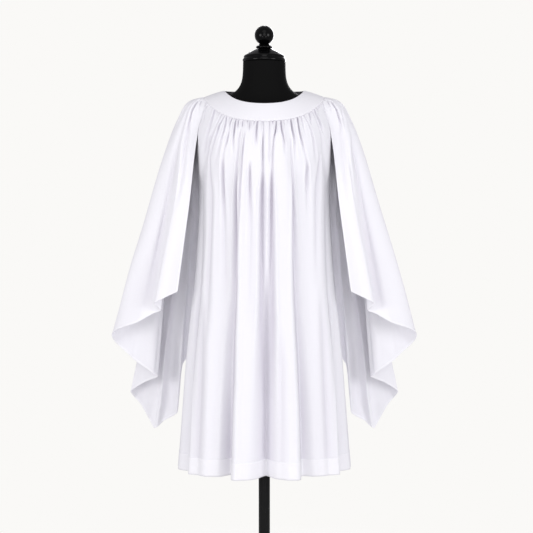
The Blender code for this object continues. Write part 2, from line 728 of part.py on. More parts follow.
def build_socket():
    """The collar round the foot of the pole, a short tube with a rounded shoulder."""
    bore = POLE_RADIUS + SEAM_GAP
    low, high = BASE_HEIGHT + SEAM_GAP, BASE_HEIGHT + SOCKET_HEIGHT
    outer = [circle(SOCKET_RADIUS, low, POLE_SIDES),
             circle(SOCKET_RADIUS, high - 0.006, POLE_SIDES),
             circle(SOCKET_RADIUS - 0.004, high, POLE_SIDES)]
    inner = [circle(bore, z, POLE_SIDES) for z in (low, high - 0.006, high)]
    add_wall("stand_socket", outer, inner, BLACK_STEEL, closed=True)


def main():
    clear_scene()
    build_yoke()
    build_panel("front", FRONT, sewn_to="split")
    build_panel("back", BACK, sewn_to="armhole")
    build_sleeve("sleeve_left", -1)
    build_sleeve("sleeve_right", 1)
    build_form()
    build_cap()
    build_finial()
    build_stand()


main()
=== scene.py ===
"""Looks of a white choir surplice on a black limbless dress form.

The cloth is built as smooth grids of fine columns: a draped body with its folds, creases and
gathers, two hanging sleeves, a round yoke, doubled hems and rows of stitches.  The form, its
turned cap and finial and the stand are built with rounded profiles.  Units are metres, +Z is
up, the garment faces -Y.
"""

import functools
import logging
import math
from dataclasses import dataclass
from enum import Enum
from typing import NamedTuple, Optional, Sequence, Union

import bmesh
import bpy
import numpy as np
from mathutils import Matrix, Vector

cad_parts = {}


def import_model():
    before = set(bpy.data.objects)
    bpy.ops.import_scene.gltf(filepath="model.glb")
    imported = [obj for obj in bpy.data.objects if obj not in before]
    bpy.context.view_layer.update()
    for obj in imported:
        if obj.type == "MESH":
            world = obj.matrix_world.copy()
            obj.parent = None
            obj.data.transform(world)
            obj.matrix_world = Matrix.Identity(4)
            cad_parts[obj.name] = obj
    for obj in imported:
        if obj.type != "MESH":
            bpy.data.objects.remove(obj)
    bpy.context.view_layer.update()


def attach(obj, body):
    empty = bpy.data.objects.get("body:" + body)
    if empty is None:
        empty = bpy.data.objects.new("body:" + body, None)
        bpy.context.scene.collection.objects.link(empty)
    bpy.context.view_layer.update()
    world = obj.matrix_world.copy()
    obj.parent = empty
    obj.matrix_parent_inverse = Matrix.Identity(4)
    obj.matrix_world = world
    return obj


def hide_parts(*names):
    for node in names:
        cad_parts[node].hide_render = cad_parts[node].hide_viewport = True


Numbers = Union[float, Sequence, np.ndarray]
Socket = Union[float, bpy.types.NodeSocket, None]

LOG = logging.getLogger("surplice")
MM = 0.001
SEAM_GAP = 0.0003                   # between neighbouring pieces
ALLOWANCE_THICKNESS = 0.0006
SOFT_SIDE, SHARP_SIDE = 1.7, 3.2    # powers of a trough's soft and sharp sides


# ---------------------------------------------------------------- small helpers
def smooth_through(knots: Numbers, values: Numbers, at: Numbers, level_turns: bool = False) -> np.ndarray:
    """Values on a smooth curve through knots.

    Args:
        knots: rising places of the given values.
        values: one value or row of values for each knot.
        at: the places asked for.
        level_turns: keeps the curve from swinging past the given values.

    Returns:
        One value or row of values for each place asked.
    """
    knots = np.asarray(knots, float)
    values = np.asarray(values, float)
    at = np.asarray(at, float)
    extra = (1,) * (values.ndim - 1)
    steps = np.diff(knots)
    slopes = np.diff(values, axis=0) / steps.reshape(-1, *extra)
    inner = slopes[:-1] * steps[1:].reshape(-1, *extra) + slopes[1:] * steps[:-1].reshape(-1, *extra)
    inner /= (steps[1:] + steps[:-1]).reshape(-1, *extra)
    if level_turns:
        steepest = 2 * np.minimum(abs(slopes[:-1]), abs(slopes[1:]))
        inner = np.where(slopes[:-1] * slopes[1:] > 0, np.clip(inner, -steepest, steepest), 0.0)
    tangents = np.concatenate([slopes[:1], inner, slopes[-1:]])
    i = np.clip(np.searchsorted(knots, at, side="right") - 1, 0, len(steps) - 1)
    h = steps[i].reshape(-1, *extra)
    s = ((at - knots[i]) / steps[i]).reshape(-1, *extra)
    start = (1 + 2 * s) * (1 - s) ** 2 * values[i] + s * (1 - s) ** 2 * h * tangents[i]
    end = s * s * (3 - 2 * s) * values[i + 1] + s * s * (s - 1) * h * tangents[i + 1]
    return start + end


def ease(x: Numbers) -> np.ndarray:
    """0 before 0, 1 after 1, and a smooth step between."""
    x = np.clip(x, 0.0, 1.0)
    return x * x * (3 - 2 * x)


def hash01(number: Numbers, salt: float = 1.0) -> np.ndarray:
    """A repeatable share from 0 to 1 for each whole number, with no visible rhythm."""
    return np.mod(np.sin(np.asarray(number, float) * 12.9898 + salt * 78.233) * 43758.5453, 1.0)


def shoulder_drop(cosine: Numbers) -> np.ndarray:
    """How far a ring over the shoulders has come down: 0 at the side, 1 in the middle."""
    c = np.clip(cosine, 0.0, 1.0)
    return 0.5 * ease(c) + 0.5 * c ** 1.8


def normalised(vectors: np.ndarray) -> np.ndarray:
    """The same vectors, one unit long."""
    return vectors / np.maximum(np.linalg.norm(vectors, axis=-1, keepdims=True), 1e-12)


def grid_normals(points: np.ndarray) -> np.ndarray:
    """Unit normals of a grid of points, all on one face of the sheet."""
    return normalised(np.cross(np.gradient(points, axis=1), np.gradient(points, axis=0)))


def upright_out(points: np.ndarray, centre_x: float = 0.0) -> np.ndarray:
    """Unit vectors out from an upright axis, lifted a little for use over the shoulders.

    Args:
        points: the points to start from.
        centre_x: where the axis stands.

    Returns:
        A vector for each point.
    """
    out = points - np.array([centre_x, 0.0, 0.0])
    out[..., 2] = 0.05
    return normalised(out)


def facing_out(normals: np.ndarray, points: np.ndarray) -> np.ndarray:
    """The same normals, each turned to the side away from the garment's upright axis."""
    return normals * np.sign((normals * upright_out(points)).sum(axis=-1, keepdims=True))


def lips(across: np.ndarray) -> np.ndarray:
    """The two low lips along a trough, 1 at their crests, for distances in half-widths."""
    return np.exp(-((np.abs(across) - 2.1) / 0.9) ** 2)


# ---------------------------------------------------------------- materials
class NodeKit:
    """Makes nodes in one tree and joins them."""

    def __init__(self, tree: bpy.types.NodeTree) -> None:
        """A kit for one tree."""
        self.tree = tree

    def add(self, kind: str, **settings) -> bpy.types.Node:
        """Adds a node.

        Args:
            kind: the node's Blender type.
            settings: its properties, or its socket values under inputs=.

        Returns:
            The new node.
        """
        node = self.tree.nodes.new(kind)
        values = settings.pop("inputs", {})
        for name, value in settings.items():
            setattr(node, name, value)
        for name, value in values.items():
            node.inputs[name].default_value = value
        return node

    def link(self, source: bpy.types.NodeSocket, target: bpy.types.NodeSocket) -> None:
        """Joins an output socket to an input socket."""
        self.tree.links.new(source, target)

    def math(self, operation: str, first: Socket, second: Socket = None) -> bpy.types.NodeSocket:
        """A math node on sockets or plain numbers.

        Args:
            operation: its Blender name.
            first: its first number.
            second: its second number, where it has one.

        Returns:
            The node's output.
        """
        node = self.add("ShaderNodeMath", operation=operation)
        for socket, value in zip(node.inputs, (first, second)):
            if isinstance(value, bpy.types.NodeSocket):
                self.link(value, socket)
            elif value is not None:
                socket.default_value = value
        return node.outputs[0]


def node_group(name: str, inputs: dict, outputs: Sequence[str]) -> tuple:
    """An empty node group with its sockets.

    Args:
        name: the group's name.
        inputs: the kind of each named input, such as Vector or Float.
        outputs: the names of its number outputs.

    Returns:
        The tree, its kit, and its input and output nodes.
    """
    tree = bpy.data.node_groups.new(name, "ShaderNodeTree")
    for label, kind in inputs.items():
        tree.interface.new_socket(label, in_out="INPUT", socket_type=f"NodeSocket{kind}")
    for label in outputs:
        tree.interface.new_socket(label, in_out="OUTPUT", socket_type="NodeSocketFloat")
    kit = NodeKit(tree)
    return tree, kit, kit.add("NodeGroupInput"), kit.add("NodeGroupOutput")


@functools.cache
def plain_weave_group() -> bpy.types.NodeTree:
    """The weave of the white cloth, made once: its height, and the shade of its uneven threads.

    Returns:
        The node group.
    """
    tree, kit, source, result = node_group("plain_weave", {"Vector": "Vector", "Threads per metre": "Float"},
                                           ("Height", "Shade"))
    split = kit.add("ShaderNodeSeparateXYZ")
    kit.link(source.outputs["Vector"], split.inputs[0])
    turns = kit.math("MULTIPLY", source.outputs["Threads per metre"], 2 * math.pi)
    warp = kit.math("SINE", kit.math("MULTIPLY", split.outputs["X"], turns))
    weft = kit.math("SINE", kit.math("MULTIPLY", split.outputs["Y"], turns))
    threads = []
    for stretch in ((700.0, 12.0, 1.0), (12.0, 700.0, 1.0)):
        scaled = kit.add("ShaderNodeVectorMath", operation="MULTIPLY")
        scaled.inputs[1].default_value = stretch
        kit.link(source.outputs["Vector"], scaled.inputs[0])
        noise = kit.add("ShaderNodeTexNoise", inputs={"Scale": 1.0, "Detail": 1.0, "Roughness": 0.4})
        kit.link(scaled.outputs[0], noise.inputs["Vector"])
        threads.append(noise.outputs["Fac"])
    uneven = kit.math("ADD", *threads)
    woven = kit.math("MULTIPLY", kit.math("MULTIPLY", warp, weft), 0.5)
    kit.link(kit.math("ADD", woven, uneven), result.inputs["Height"])
    kit.link(kit.math("MULTIPLY", uneven, 0.5), result.inputs["Shade"])
    return tree


@functools.cache
def fine_grain_group() -> bpy.types.NodeTree:
    """Small soft unevenness for the form's cover, lacquer and paint, made once.

    Returns:
        The node group.
    """
    tree, kit, source, result = node_group("fine_grain", {"Scale": "Float"}, ("Height",))
    place = kit.add("ShaderNodeTexCoord")
    noise = kit.add("ShaderNodeTexNoise", inputs={"Detail": 3.0, "Roughness": 0.5})
    kit.link(place.outputs["Object"], noise.inputs["Vector"])
    kit.link(source.outputs["Scale"], noise.inputs["Scale"])
    kit.link(noise.outputs["Fac"], result.inputs["Height"])
    return tree


def new_material(name: str, **sockets) -> tuple:
    """A material and its shader.

    Args:
        name: the material's name.
        sockets: values of the shader's sockets, with _ for a space.
    """
    made = bpy.data.materials.new(name)
    made.use_nodes = True
    shader = made.node_tree.nodes["Principled BSDF"]
    for socket, value in sockets.items():
        shader.inputs[socket.replace("_", " ")].default_value = value
    return made, NodeKit(made.node_tree), shader


def bump_from(kit: NodeKit, height: bpy.types.NodeSocket, shader: bpy.types.Node, strength: float,
              distance: float) -> None:
    """Feeds a height to a shader's normal.

    Args:
        height: the socket that gives the height.
        shader: the material's shader.
        strength: the bump's strength.
        distance: its distance in metres.
    """
    bump = kit.add("ShaderNodeBump", inputs={"Strength": strength, "Distance": distance})
    kit.link(height, bump.inputs["Height"])
    kit.link(bump.outputs["Normal"], shader.inputs["Normal"])


@dataclass(frozen=True)
class ClothFinish:
    """Plain-woven white cloth, with painted shade that darkens its colour in the creases."""

    name: str
    colour: tuple
    # colour of the painted shade in the creases: darker and a little lavender, multiplied into the base
    # colour
    painted_crease_shade: tuple = (0.805, 0.780, 0.824)
    darkest: float = 0.975
    palest: float = 1.015
    threads_per_metre: float = 1100.0
    weave_strength: float = 0.22
    weave_height: float = 0.0002
    slot: str = "white_cloth"

    @functools.cache
    def material(self) -> bpy.types.Material:
        """The cloth's material, made once.

        Returns:
            The material.
        """
        made, kit, shader = new_material(self.name, Roughness=0.85, Specular_IOR_Level=0.1)
        place = kit.add("ShaderNodeUVMap", uv_map="cloth")
        weave = kit.add("ShaderNodeGroup", node_tree=plain_weave_group(),
                        inputs={"Threads per metre": self.threads_per_metre})
        kit.link(place.outputs["UV"], weave.inputs["Vector"])
        shade = kit.add("ShaderNodeMix", data_type="RGBA")
        shade.inputs["A"].default_value = (*(c * self.darkest for c in self.colour), 1.0)
        shade.inputs["B"].default_value = (*(c * self.palest for c in self.colour), 1.0)
        kit.link(weave.outputs["Shade"], shade.inputs["Factor"])
        # Painted shade: the crease attribute darkens the base colour towards the crease colour.
        inside = kit.add("ShaderNodeAttribute", attribute_name="crease")
        deep = kit.add("ShaderNodeMix", data_type="RGBA", blend_type="MULTIPLY")
        deep.inputs["B"].default_value = (*self.painted_crease_shade, 1.0)
        kit.link(inside.outputs["Fac"], deep.inputs["Factor"])
        kit.link(shade.outputs["Result"], deep.inputs["A"])
        kit.link(deep.outputs["Result"], shader.inputs["Base Color"])
        bump_from(kit, weave.outputs["Height"], shader, self.weave_strength, self.weave_height)
        return made


@dataclass(frozen=True)
class SolidFinish:
    """An even surface with a fine grain: jersey, lacquer, paint or thread."""

    name: str
    slot: str
    colour: tuple
    roughness: float
    coat: float = 0.0
    sheen: float = 0.0
    specular: float = 0.12
    grain_scale: float = 400.0
    grain_strength: float = 0.5
    grain_height: float = 0.00005

    @functools.cache
    def material(self) -> bpy.types.Material:
        """The finish's material, made once.

        Returns:
            The material.
        """
        made, kit, shader = new_material(
            self.name, Base_Color=(*self.colour, 1.0), Roughness=self.roughness, Coat_Weight=self.coat,
            Coat_Roughness=0.06, Sheen_Weight=self.sheen, Specular_IOR_Level=self.specular)
        grain = kit.add("ShaderNodeGroup", node_tree=fine_grain_group(), inputs={"Scale": self.grain_scale})
        bump_from(kit, grain.outputs["Height"], shader, self.grain_strength, self.grain_height)
        return made


Finish = Union[ClothFinish, SolidFinish]
# The body's and the sleeves' cloth are one cloth; the sleeves' copy is painted a little lighter, as painted
# light that lifts the shade inside the sleeves.
SINGLE_CLOTH = ClothFinish("surplice_cloth", (0.785, 0.777, 0.816))
LIGHTENED_SLEEVE_CLOTH = ClothFinish("surplice_cloth_sleeve_lightened", (0.804, 0.796, 0.833))
DOUBLED_CLOTH = ClothFinish("surplice_cloth_doubled", (0.800, 0.791, 0.826))
TURNED_CLOTH = ClothFinish("surplice_cloth_turned", (0.835, 0.827, 0.862))
WHITE_THREAD = SolidFinish("white_thread", "white_cloth", (0.90, 0.89, 0.93), 0.6, sheen=0.1)
BLACK_JERSEY = SolidFinish("jersey_cover", "black_jersey", (0.003, 0.003, 0.003), 0.7, specular=0.06)
BLACK_LACQUER = SolidFinish("lacquer_coat", "black_lacquer", (0.0012, 0.0012, 0.0014), 0.25, coat=0.2,
                            specular=0.03)
BLACK_STEEL = SolidFinish("stand_paint", "black_steel", (0.006, 0.006, 0.0062), 0.38, grain_scale=900.0)


# ---------------------------------------------------------------- pieces
def new_object(name: str, data: bpy.types.ID) -> bpy.types.Object:
    """An object in the scene.

    Args:
        name: the object's name.
        data: the mesh, light or camera that it shows.

    Returns:
        The new object.
    """
    made = bpy.data.objects.new(name, data)
    bpy.context.scene.collection.objects.link(made)
    return made


def mesh_from(name: str, bm: bmesh.types.BMesh) -> bpy.types.Mesh:
    """The mesh of a bmesh.

    Args:
        name: the mesh's name.
        bm: the bmesh, which is freed.

    Returns:
        The new mesh.
    """
    mesh = bpy.data.meshes.new(name)
    bm.to_mesh(mesh)
    bm.free()
    return mesh


def add_piece(name: str, bm: bmesh.types.BMesh, finish: Finish, replaces: Sequence[str] = (),
              sharp_degrees: Optional[float] = None) -> bpy.types.Object:
    """Makes a piece that rides on the part's root.

    Args:
        name: the piece's name.
        bm: its mesh, which is freed.
        finish: the finish whose material it takes.
        replaces: the CAD nodes that it is shown in place of.
        sharp_degrees: edges sharper than this are left sharp.

    Returns:
        The new object.
    """
    mesh = mesh_from(name, bm)
    mesh.shade_smooth()
    if sharp_degrees is not None:
        mesh.set_sharp_from_angle(angle=math.radians(sharp_degrees))
    mesh.materials.append(finish.material())
    piece = new_object(name, mesh)
    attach(piece, "root")
    if replaces:
        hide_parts(*replaces)
    LOG.info("%s: %d faces", name, len(mesh.polygons))
    return piece


def sheet_mesh(points: np.ndarray, size: tuple, outward: np.ndarray, closed: bool = False,
               shade: Optional[np.ndarray] = None) -> bmesh.types.BMesh:
    """A sheet of cloth: a grid moved onto the given points, with its own lie of the weave.

    Args:
        points: rows by columns of points.
        size: the cut's width and length in metres, for the weave.
        outward: one vector out of the cloth's right side, at the grid's middle.
        closed: the last column is the first one again.
        shade: how much painted shade each point gets, from 0 to 1, for how deep in a crease it lies.

    Returns:
        The mesh.
    """
    rows, columns = points.shape[0] - 1, points.shape[1] - 1
    bm = bmesh.new()
    bmesh.ops.create_grid(bm, x_segments=columns, y_segments=rows, size=0.5)
    weave = bm.loops.layers.uv.new("cloth")
    for face in bm.faces:
        for loop in face.loops:
            across, down = loop.vert.co.x + 0.5, 0.5 - loop.vert.co.y
            loop[weave].uv = (across * size[0], down * size[1])
    # The crease attribute holds the painted shade that darkens the cloth's colour in its creases.
    depth = bm.verts.layers.float.new("crease")
    for vert in bm.verts:
        column, row = round((vert.co.x + 0.5) * columns), round((0.5 - vert.co.y) * rows)
        vert.co = Vector(points[row, column])
        if shade is not None:
            vert[depth] = shade[row, column]
    if closed:
        bmesh.ops.remove_doubles(bm, verts=bm.verts, dist=1e-6)
    bm.normal_update()
    bm.faces.ensure_lookup_table()
    middle = bm.faces[len(bm.faces) // 2]
    away = np.linalg.norm(points - np.array(middle.calc_center_median()), axis=-1)
    nearest = np.unravel_index(np.argmin(away), away.shape)
    if middle.normal.dot(Vector(outward[nearest])) < 0:
        bmesh.ops.reverse_faces(bm, faces=bm.faces)
    return bm


def thicken(piece: bpy.types.Object, thickness: float) -> bpy.types.Object:
    """Gives a sheet its thickness, inwards from its right side.

    Args:
        piece: the sheet.
        thickness: its thickness in metres.

    Returns:
        The same piece.
    """
    layer = piece.modifiers.new("thickness", "SOLIDIFY")
    layer.thickness = thickness
    layer.offset = -1.0
    return piece


@dataclass(frozen=True)
class StitchStyle:
    """A row of machine stitches."""

    pitch: float = 0.0032
    length: float = 0.0025
    radius: float = 0.00028


def stitch_row(bm: bmesh.types.BMesh, path: np.ndarray, normals: np.ndarray,
               style: StitchStyle = StitchStyle()) -> None:
    """Lays stitches along a path.

    Args:
        bm: the mesh that they are added to.
        path: points along the row, on the cloth's face.
        normals: the cloth's outward normal at each of them.
        style: the stitches' sizes.
    """
    one = bmesh.new()
    bmesh.ops.create_uvsphere(one, u_segments=6, v_segments=4, radius=1.0)
    stitch = mesh_from("stitch", one)
    shape = np.array([vert.co for vert in stitch.vertices])
    shape = shape * np.array([style.length / 2, style.radius, style.radius * 0.8])
    along = np.concatenate([[0.0], np.cumsum(np.linalg.norm(np.diff(path, axis=0), axis=1))])
    starts = np.arange(style.pitch, along[-1] - style.pitch, style.pitch)
    half = style.length / 2
    near, far, up = (np.stack([np.interp(starts + step, along, values[:, k]) for k in range(3)], axis=-1)
                     for values, step in ((path, -half), (path, half), (normals, 0.0)))
    run = normalised(far - near)
    side = normalised(np.cross(up, run))
    up = np.cross(run, side)
    for middle, *axes in zip((near + far) / 2, run, side, up):
        stitch.vertices.foreach_set("co", (shape @ np.array(axes) + middle).ravel())
        bm.from_mesh(stitch)
    bpy.data.meshes.remove(stitch)


# ---------------------------------------------------------------- the garment's shapes
class Ring(NamedTuple):
    """One level of a body panel."""

    name: str
    middle_z: float
    edge_z: float
    half_width: float
    depth: float
    edge_angle: float


class Fold(NamedTuple):
    """A fold line at three levels: cloth share, then degrees and millimetres out at each."""

    cloth: float
    chest_place: float
    chest_out: float
    waist_place: float
    waist_out: float
    hem_place: float
    hem_out: float


class Side(Enum):
    """The side on which a crease is sharp."""

    NONE = 0
    LEFT = -1
    RIGHT = 1


class Track(NamedTuple):
    """A crease at one height: z and x, then depth and half-width, all in millimetres."""

    z: float
    x: float
    depth: float
    width: float


@dataclass(frozen=True)
class Crease:
    """A narrow trough between two rounded folds."""

    name: str
    track: tuple
    sharp: Side
    fullness: float = 2.4        # how much deeper than its table a shallow crease is
    half_depth: float = 0.012    # depth at which that fullness has halved
    lip: float = 0.22            # height of its lips as a share of its depth
    fade_down: float = 0.02      # lengths over which it dies out past its two ends
    fade_up: float = 0.01
    radius_share: float = 0.9    # the body's radius as a share of its half-width
    sharp_width: float = 0.75    # width of its sharp side as a share of the other's
    full_shade: tuple = (1.1, 0.006)   # depth that gets the full painted shade: so many widths, and so many metres more

    def pull(self, z: np.ndarray, degrees: np.ndarray, half_width: np.ndarray) -> tuple:
        """How far in the crease pulls the cloth, and how steep-sided it is there.

        Args:
            z: heights of the points in metres.
            degrees: their places round the body.
            half_width: the body's half-width at each.

        Returns:
            The depth at each point in metres, and the steepness from 0 to 1, which is the share of painted
            shade there.
        """
        rows = sorted(self.track)
        heights = np.array([row.z for row in rows]) * MM
        at = np.clip(z, heights[0], heights[-1])
        sizes = np.array([(row.x, row.depth, row.width) for row in rows]) * MM
        sizes = smooth_through(heights, sizes, at.ravel(), level_turns=True).reshape(*at.shape, 3)
        x, depth, width = np.moveaxis(sizes, -1, 0)
        centre = np.degrees(np.arcsin(np.clip(x / half_width, -0.999, 0.999)))
        away = np.radians(degrees - centre) * half_width * self.radius_share
        steep = away * self.sharp.value > 0
        across = away / np.where(steep, width * self.sharp_width, width)
        inside = ease((z - heights[0]) / self.fade_down + 1) * ease((heights[-1] - z) / self.fade_up + 1)
        depth = inside * self.fullness * depth / (1 + depth / self.half_depth)
        trough = np.exp(-np.abs(across) ** np.where(steep, SHARP_SIDE, SOFT_SIDE))
        steepness = np.clip(depth * trough / (self.full_shade[0] * width + self.full_shade[1]), 0, 1)
        return depth * (trough - self.lip * lips(across)), steepness


def crease(name: str, *rows: tuple, sharp: Side = Side.NONE) -> Crease:
    """A crease from its name, the rows of its track and its sharp side."""
    return Crease(name, tuple(Track(*row) for row in rows), sharp)


FRONT_RINGS = (
    Ring("yoke seam", 1.370, 1.4278, 0.166, 0.135, 72.0),
    Ring("gathers", 1.338, 1.397, 0.1775, 0.155, 69.0),
    Ring("split", 1.293, 1.334, 0.1950, 0.167, 69.0),
    Ring("armhole", 1.243, 1.263, 0.1890, 0.169, 77.0),
    Ring("underarm", 1.190, 1.190, 0.1815, 0.166, 90.0),
    Ring("waist", 1.000, 1.000, 0.1885, 0.158, 90.0),
    Ring("thigh", 0.700, 0.700, 0.2180, 0.152, 90.0),
    Ring("hem", 0.400, 0.400, 0.2415, 0.148, 90.0),
)
BACK_RINGS = (
    Ring("yoke seam", 1.408, 1.4344, 0.166, 0.125, 72.0),
    Ring("gathers", 1.372, 1.405, 0.1775, 0.140, 69.0),
    Ring("shoulder blade", 1.310, 1.338, 0.1950, 0.150, 68.0),
    Ring("armhole", 1.243, 1.255, 0.1890, 0.152, 75.0),
    Ring("underarm", 1.190, 1.190, 0.1815, 0.150, 90.0),
    Ring("waist", 1.000, 1.000, 0.1885, 0.146, 90.0),
    Ring("thigh", 0.700, 0.700, 0.2180, 0.148, 90.0),
    Ring("hem", 0.400, 0.400, 0.2415, 0.150, 90.0),
)
FRONT_FOLDS = (
    Fold(-1.00, -90, 0, -90, 0, -90, 0),
    Fold(-0.93, -80, 2, -80, 4, -80, 2),
    Fold(-0.84, -71, -1, -69, -6, -66, -20),
    Fold(-0.76, -61, 3, -59, 5, -58, 5),
    Fold(-0.62, -48, 4, -47, 6, -46, 14),
    Fold(-0.47, -38, -2, -36, -3, -32, -3),
    Fold(-0.33, -26, -4, -26, -8, -24, -18),
    Fold(-0.26, -21, 4, -22, 6, -21, 22),
    Fold(-0.16, -12, 3, -13, 6, -14, 28),
    Fold(-0.08, -5, 2, -6, 4, -6, 8),
    Fold(0.00, 1, -1, 2, -5, 1, -18),
    Fold(0.09, 9, 2, 9, 5, 8, 8),
    Fold(0.17, 15, 4, 15, 8, 16, 28),
    Fold(0.27, 22, 4, 24, 6, 23, 22),
    Fold(0.34, 28, -3, 28, -8, 27, -8),
    Fold(0.47, 39, -2, 38, -3, 36, -3),
    Fold(0.62, 49, 4, 48, 6, 46, 14),
    Fold(0.76, 62, 3, 59, 5, 58, 5),
    Fold(0.84, 71, -1, 69, -6, 66, -20),
    Fold(0.93, 80, 2, 80, 4, 80, 2),
    Fold(1.00, 90, 0, 90, 0, 90, 0),
)
BACK_FOLDS = (
    Fold(-1.00, -90, 0, -90, 0, -90, 0),
    Fold(-0.89, -79, 1, -79, 3, -79, 6),
    Fold(-0.77, -66, -2, -67, -4, -67, -14),
    Fold(-0.63, -55, 3, -56, 5, -56, 16),
    Fold(-0.49, -43, -3, -44, -6, -43, -14),
    Fold(-0.34, -30, 3, -31, 6, -31, 20),
    Fold(-0.20, -18, -4, -18, -6, -18, -12),
    Fold(-0.09, -8, 2, -8, 4, -9, 16),
    Fold(0.03, 2, -3, 2, -5, 3, -14),
    Fold(0.16, 13, 3, 14, 6, 14, 20),
    Fold(0.29, 25, -4, 26, -6, 25, -13),
    Fold(0.42, 37, 3, 37, 5, 38, 18),
    Fold(0.55, 48, -3, 49, -5, 49, -14),
    Fold(0.68, 60, 3, 60, 5, 61, 14),
    Fold(0.81, 71, -2, 72, -4, 71, -12),
    Fold(0.91, 81, 1, 81, 3, 81, 6),
    Fold(1.00, 90, 0, 90, 0, 90, 0),
)
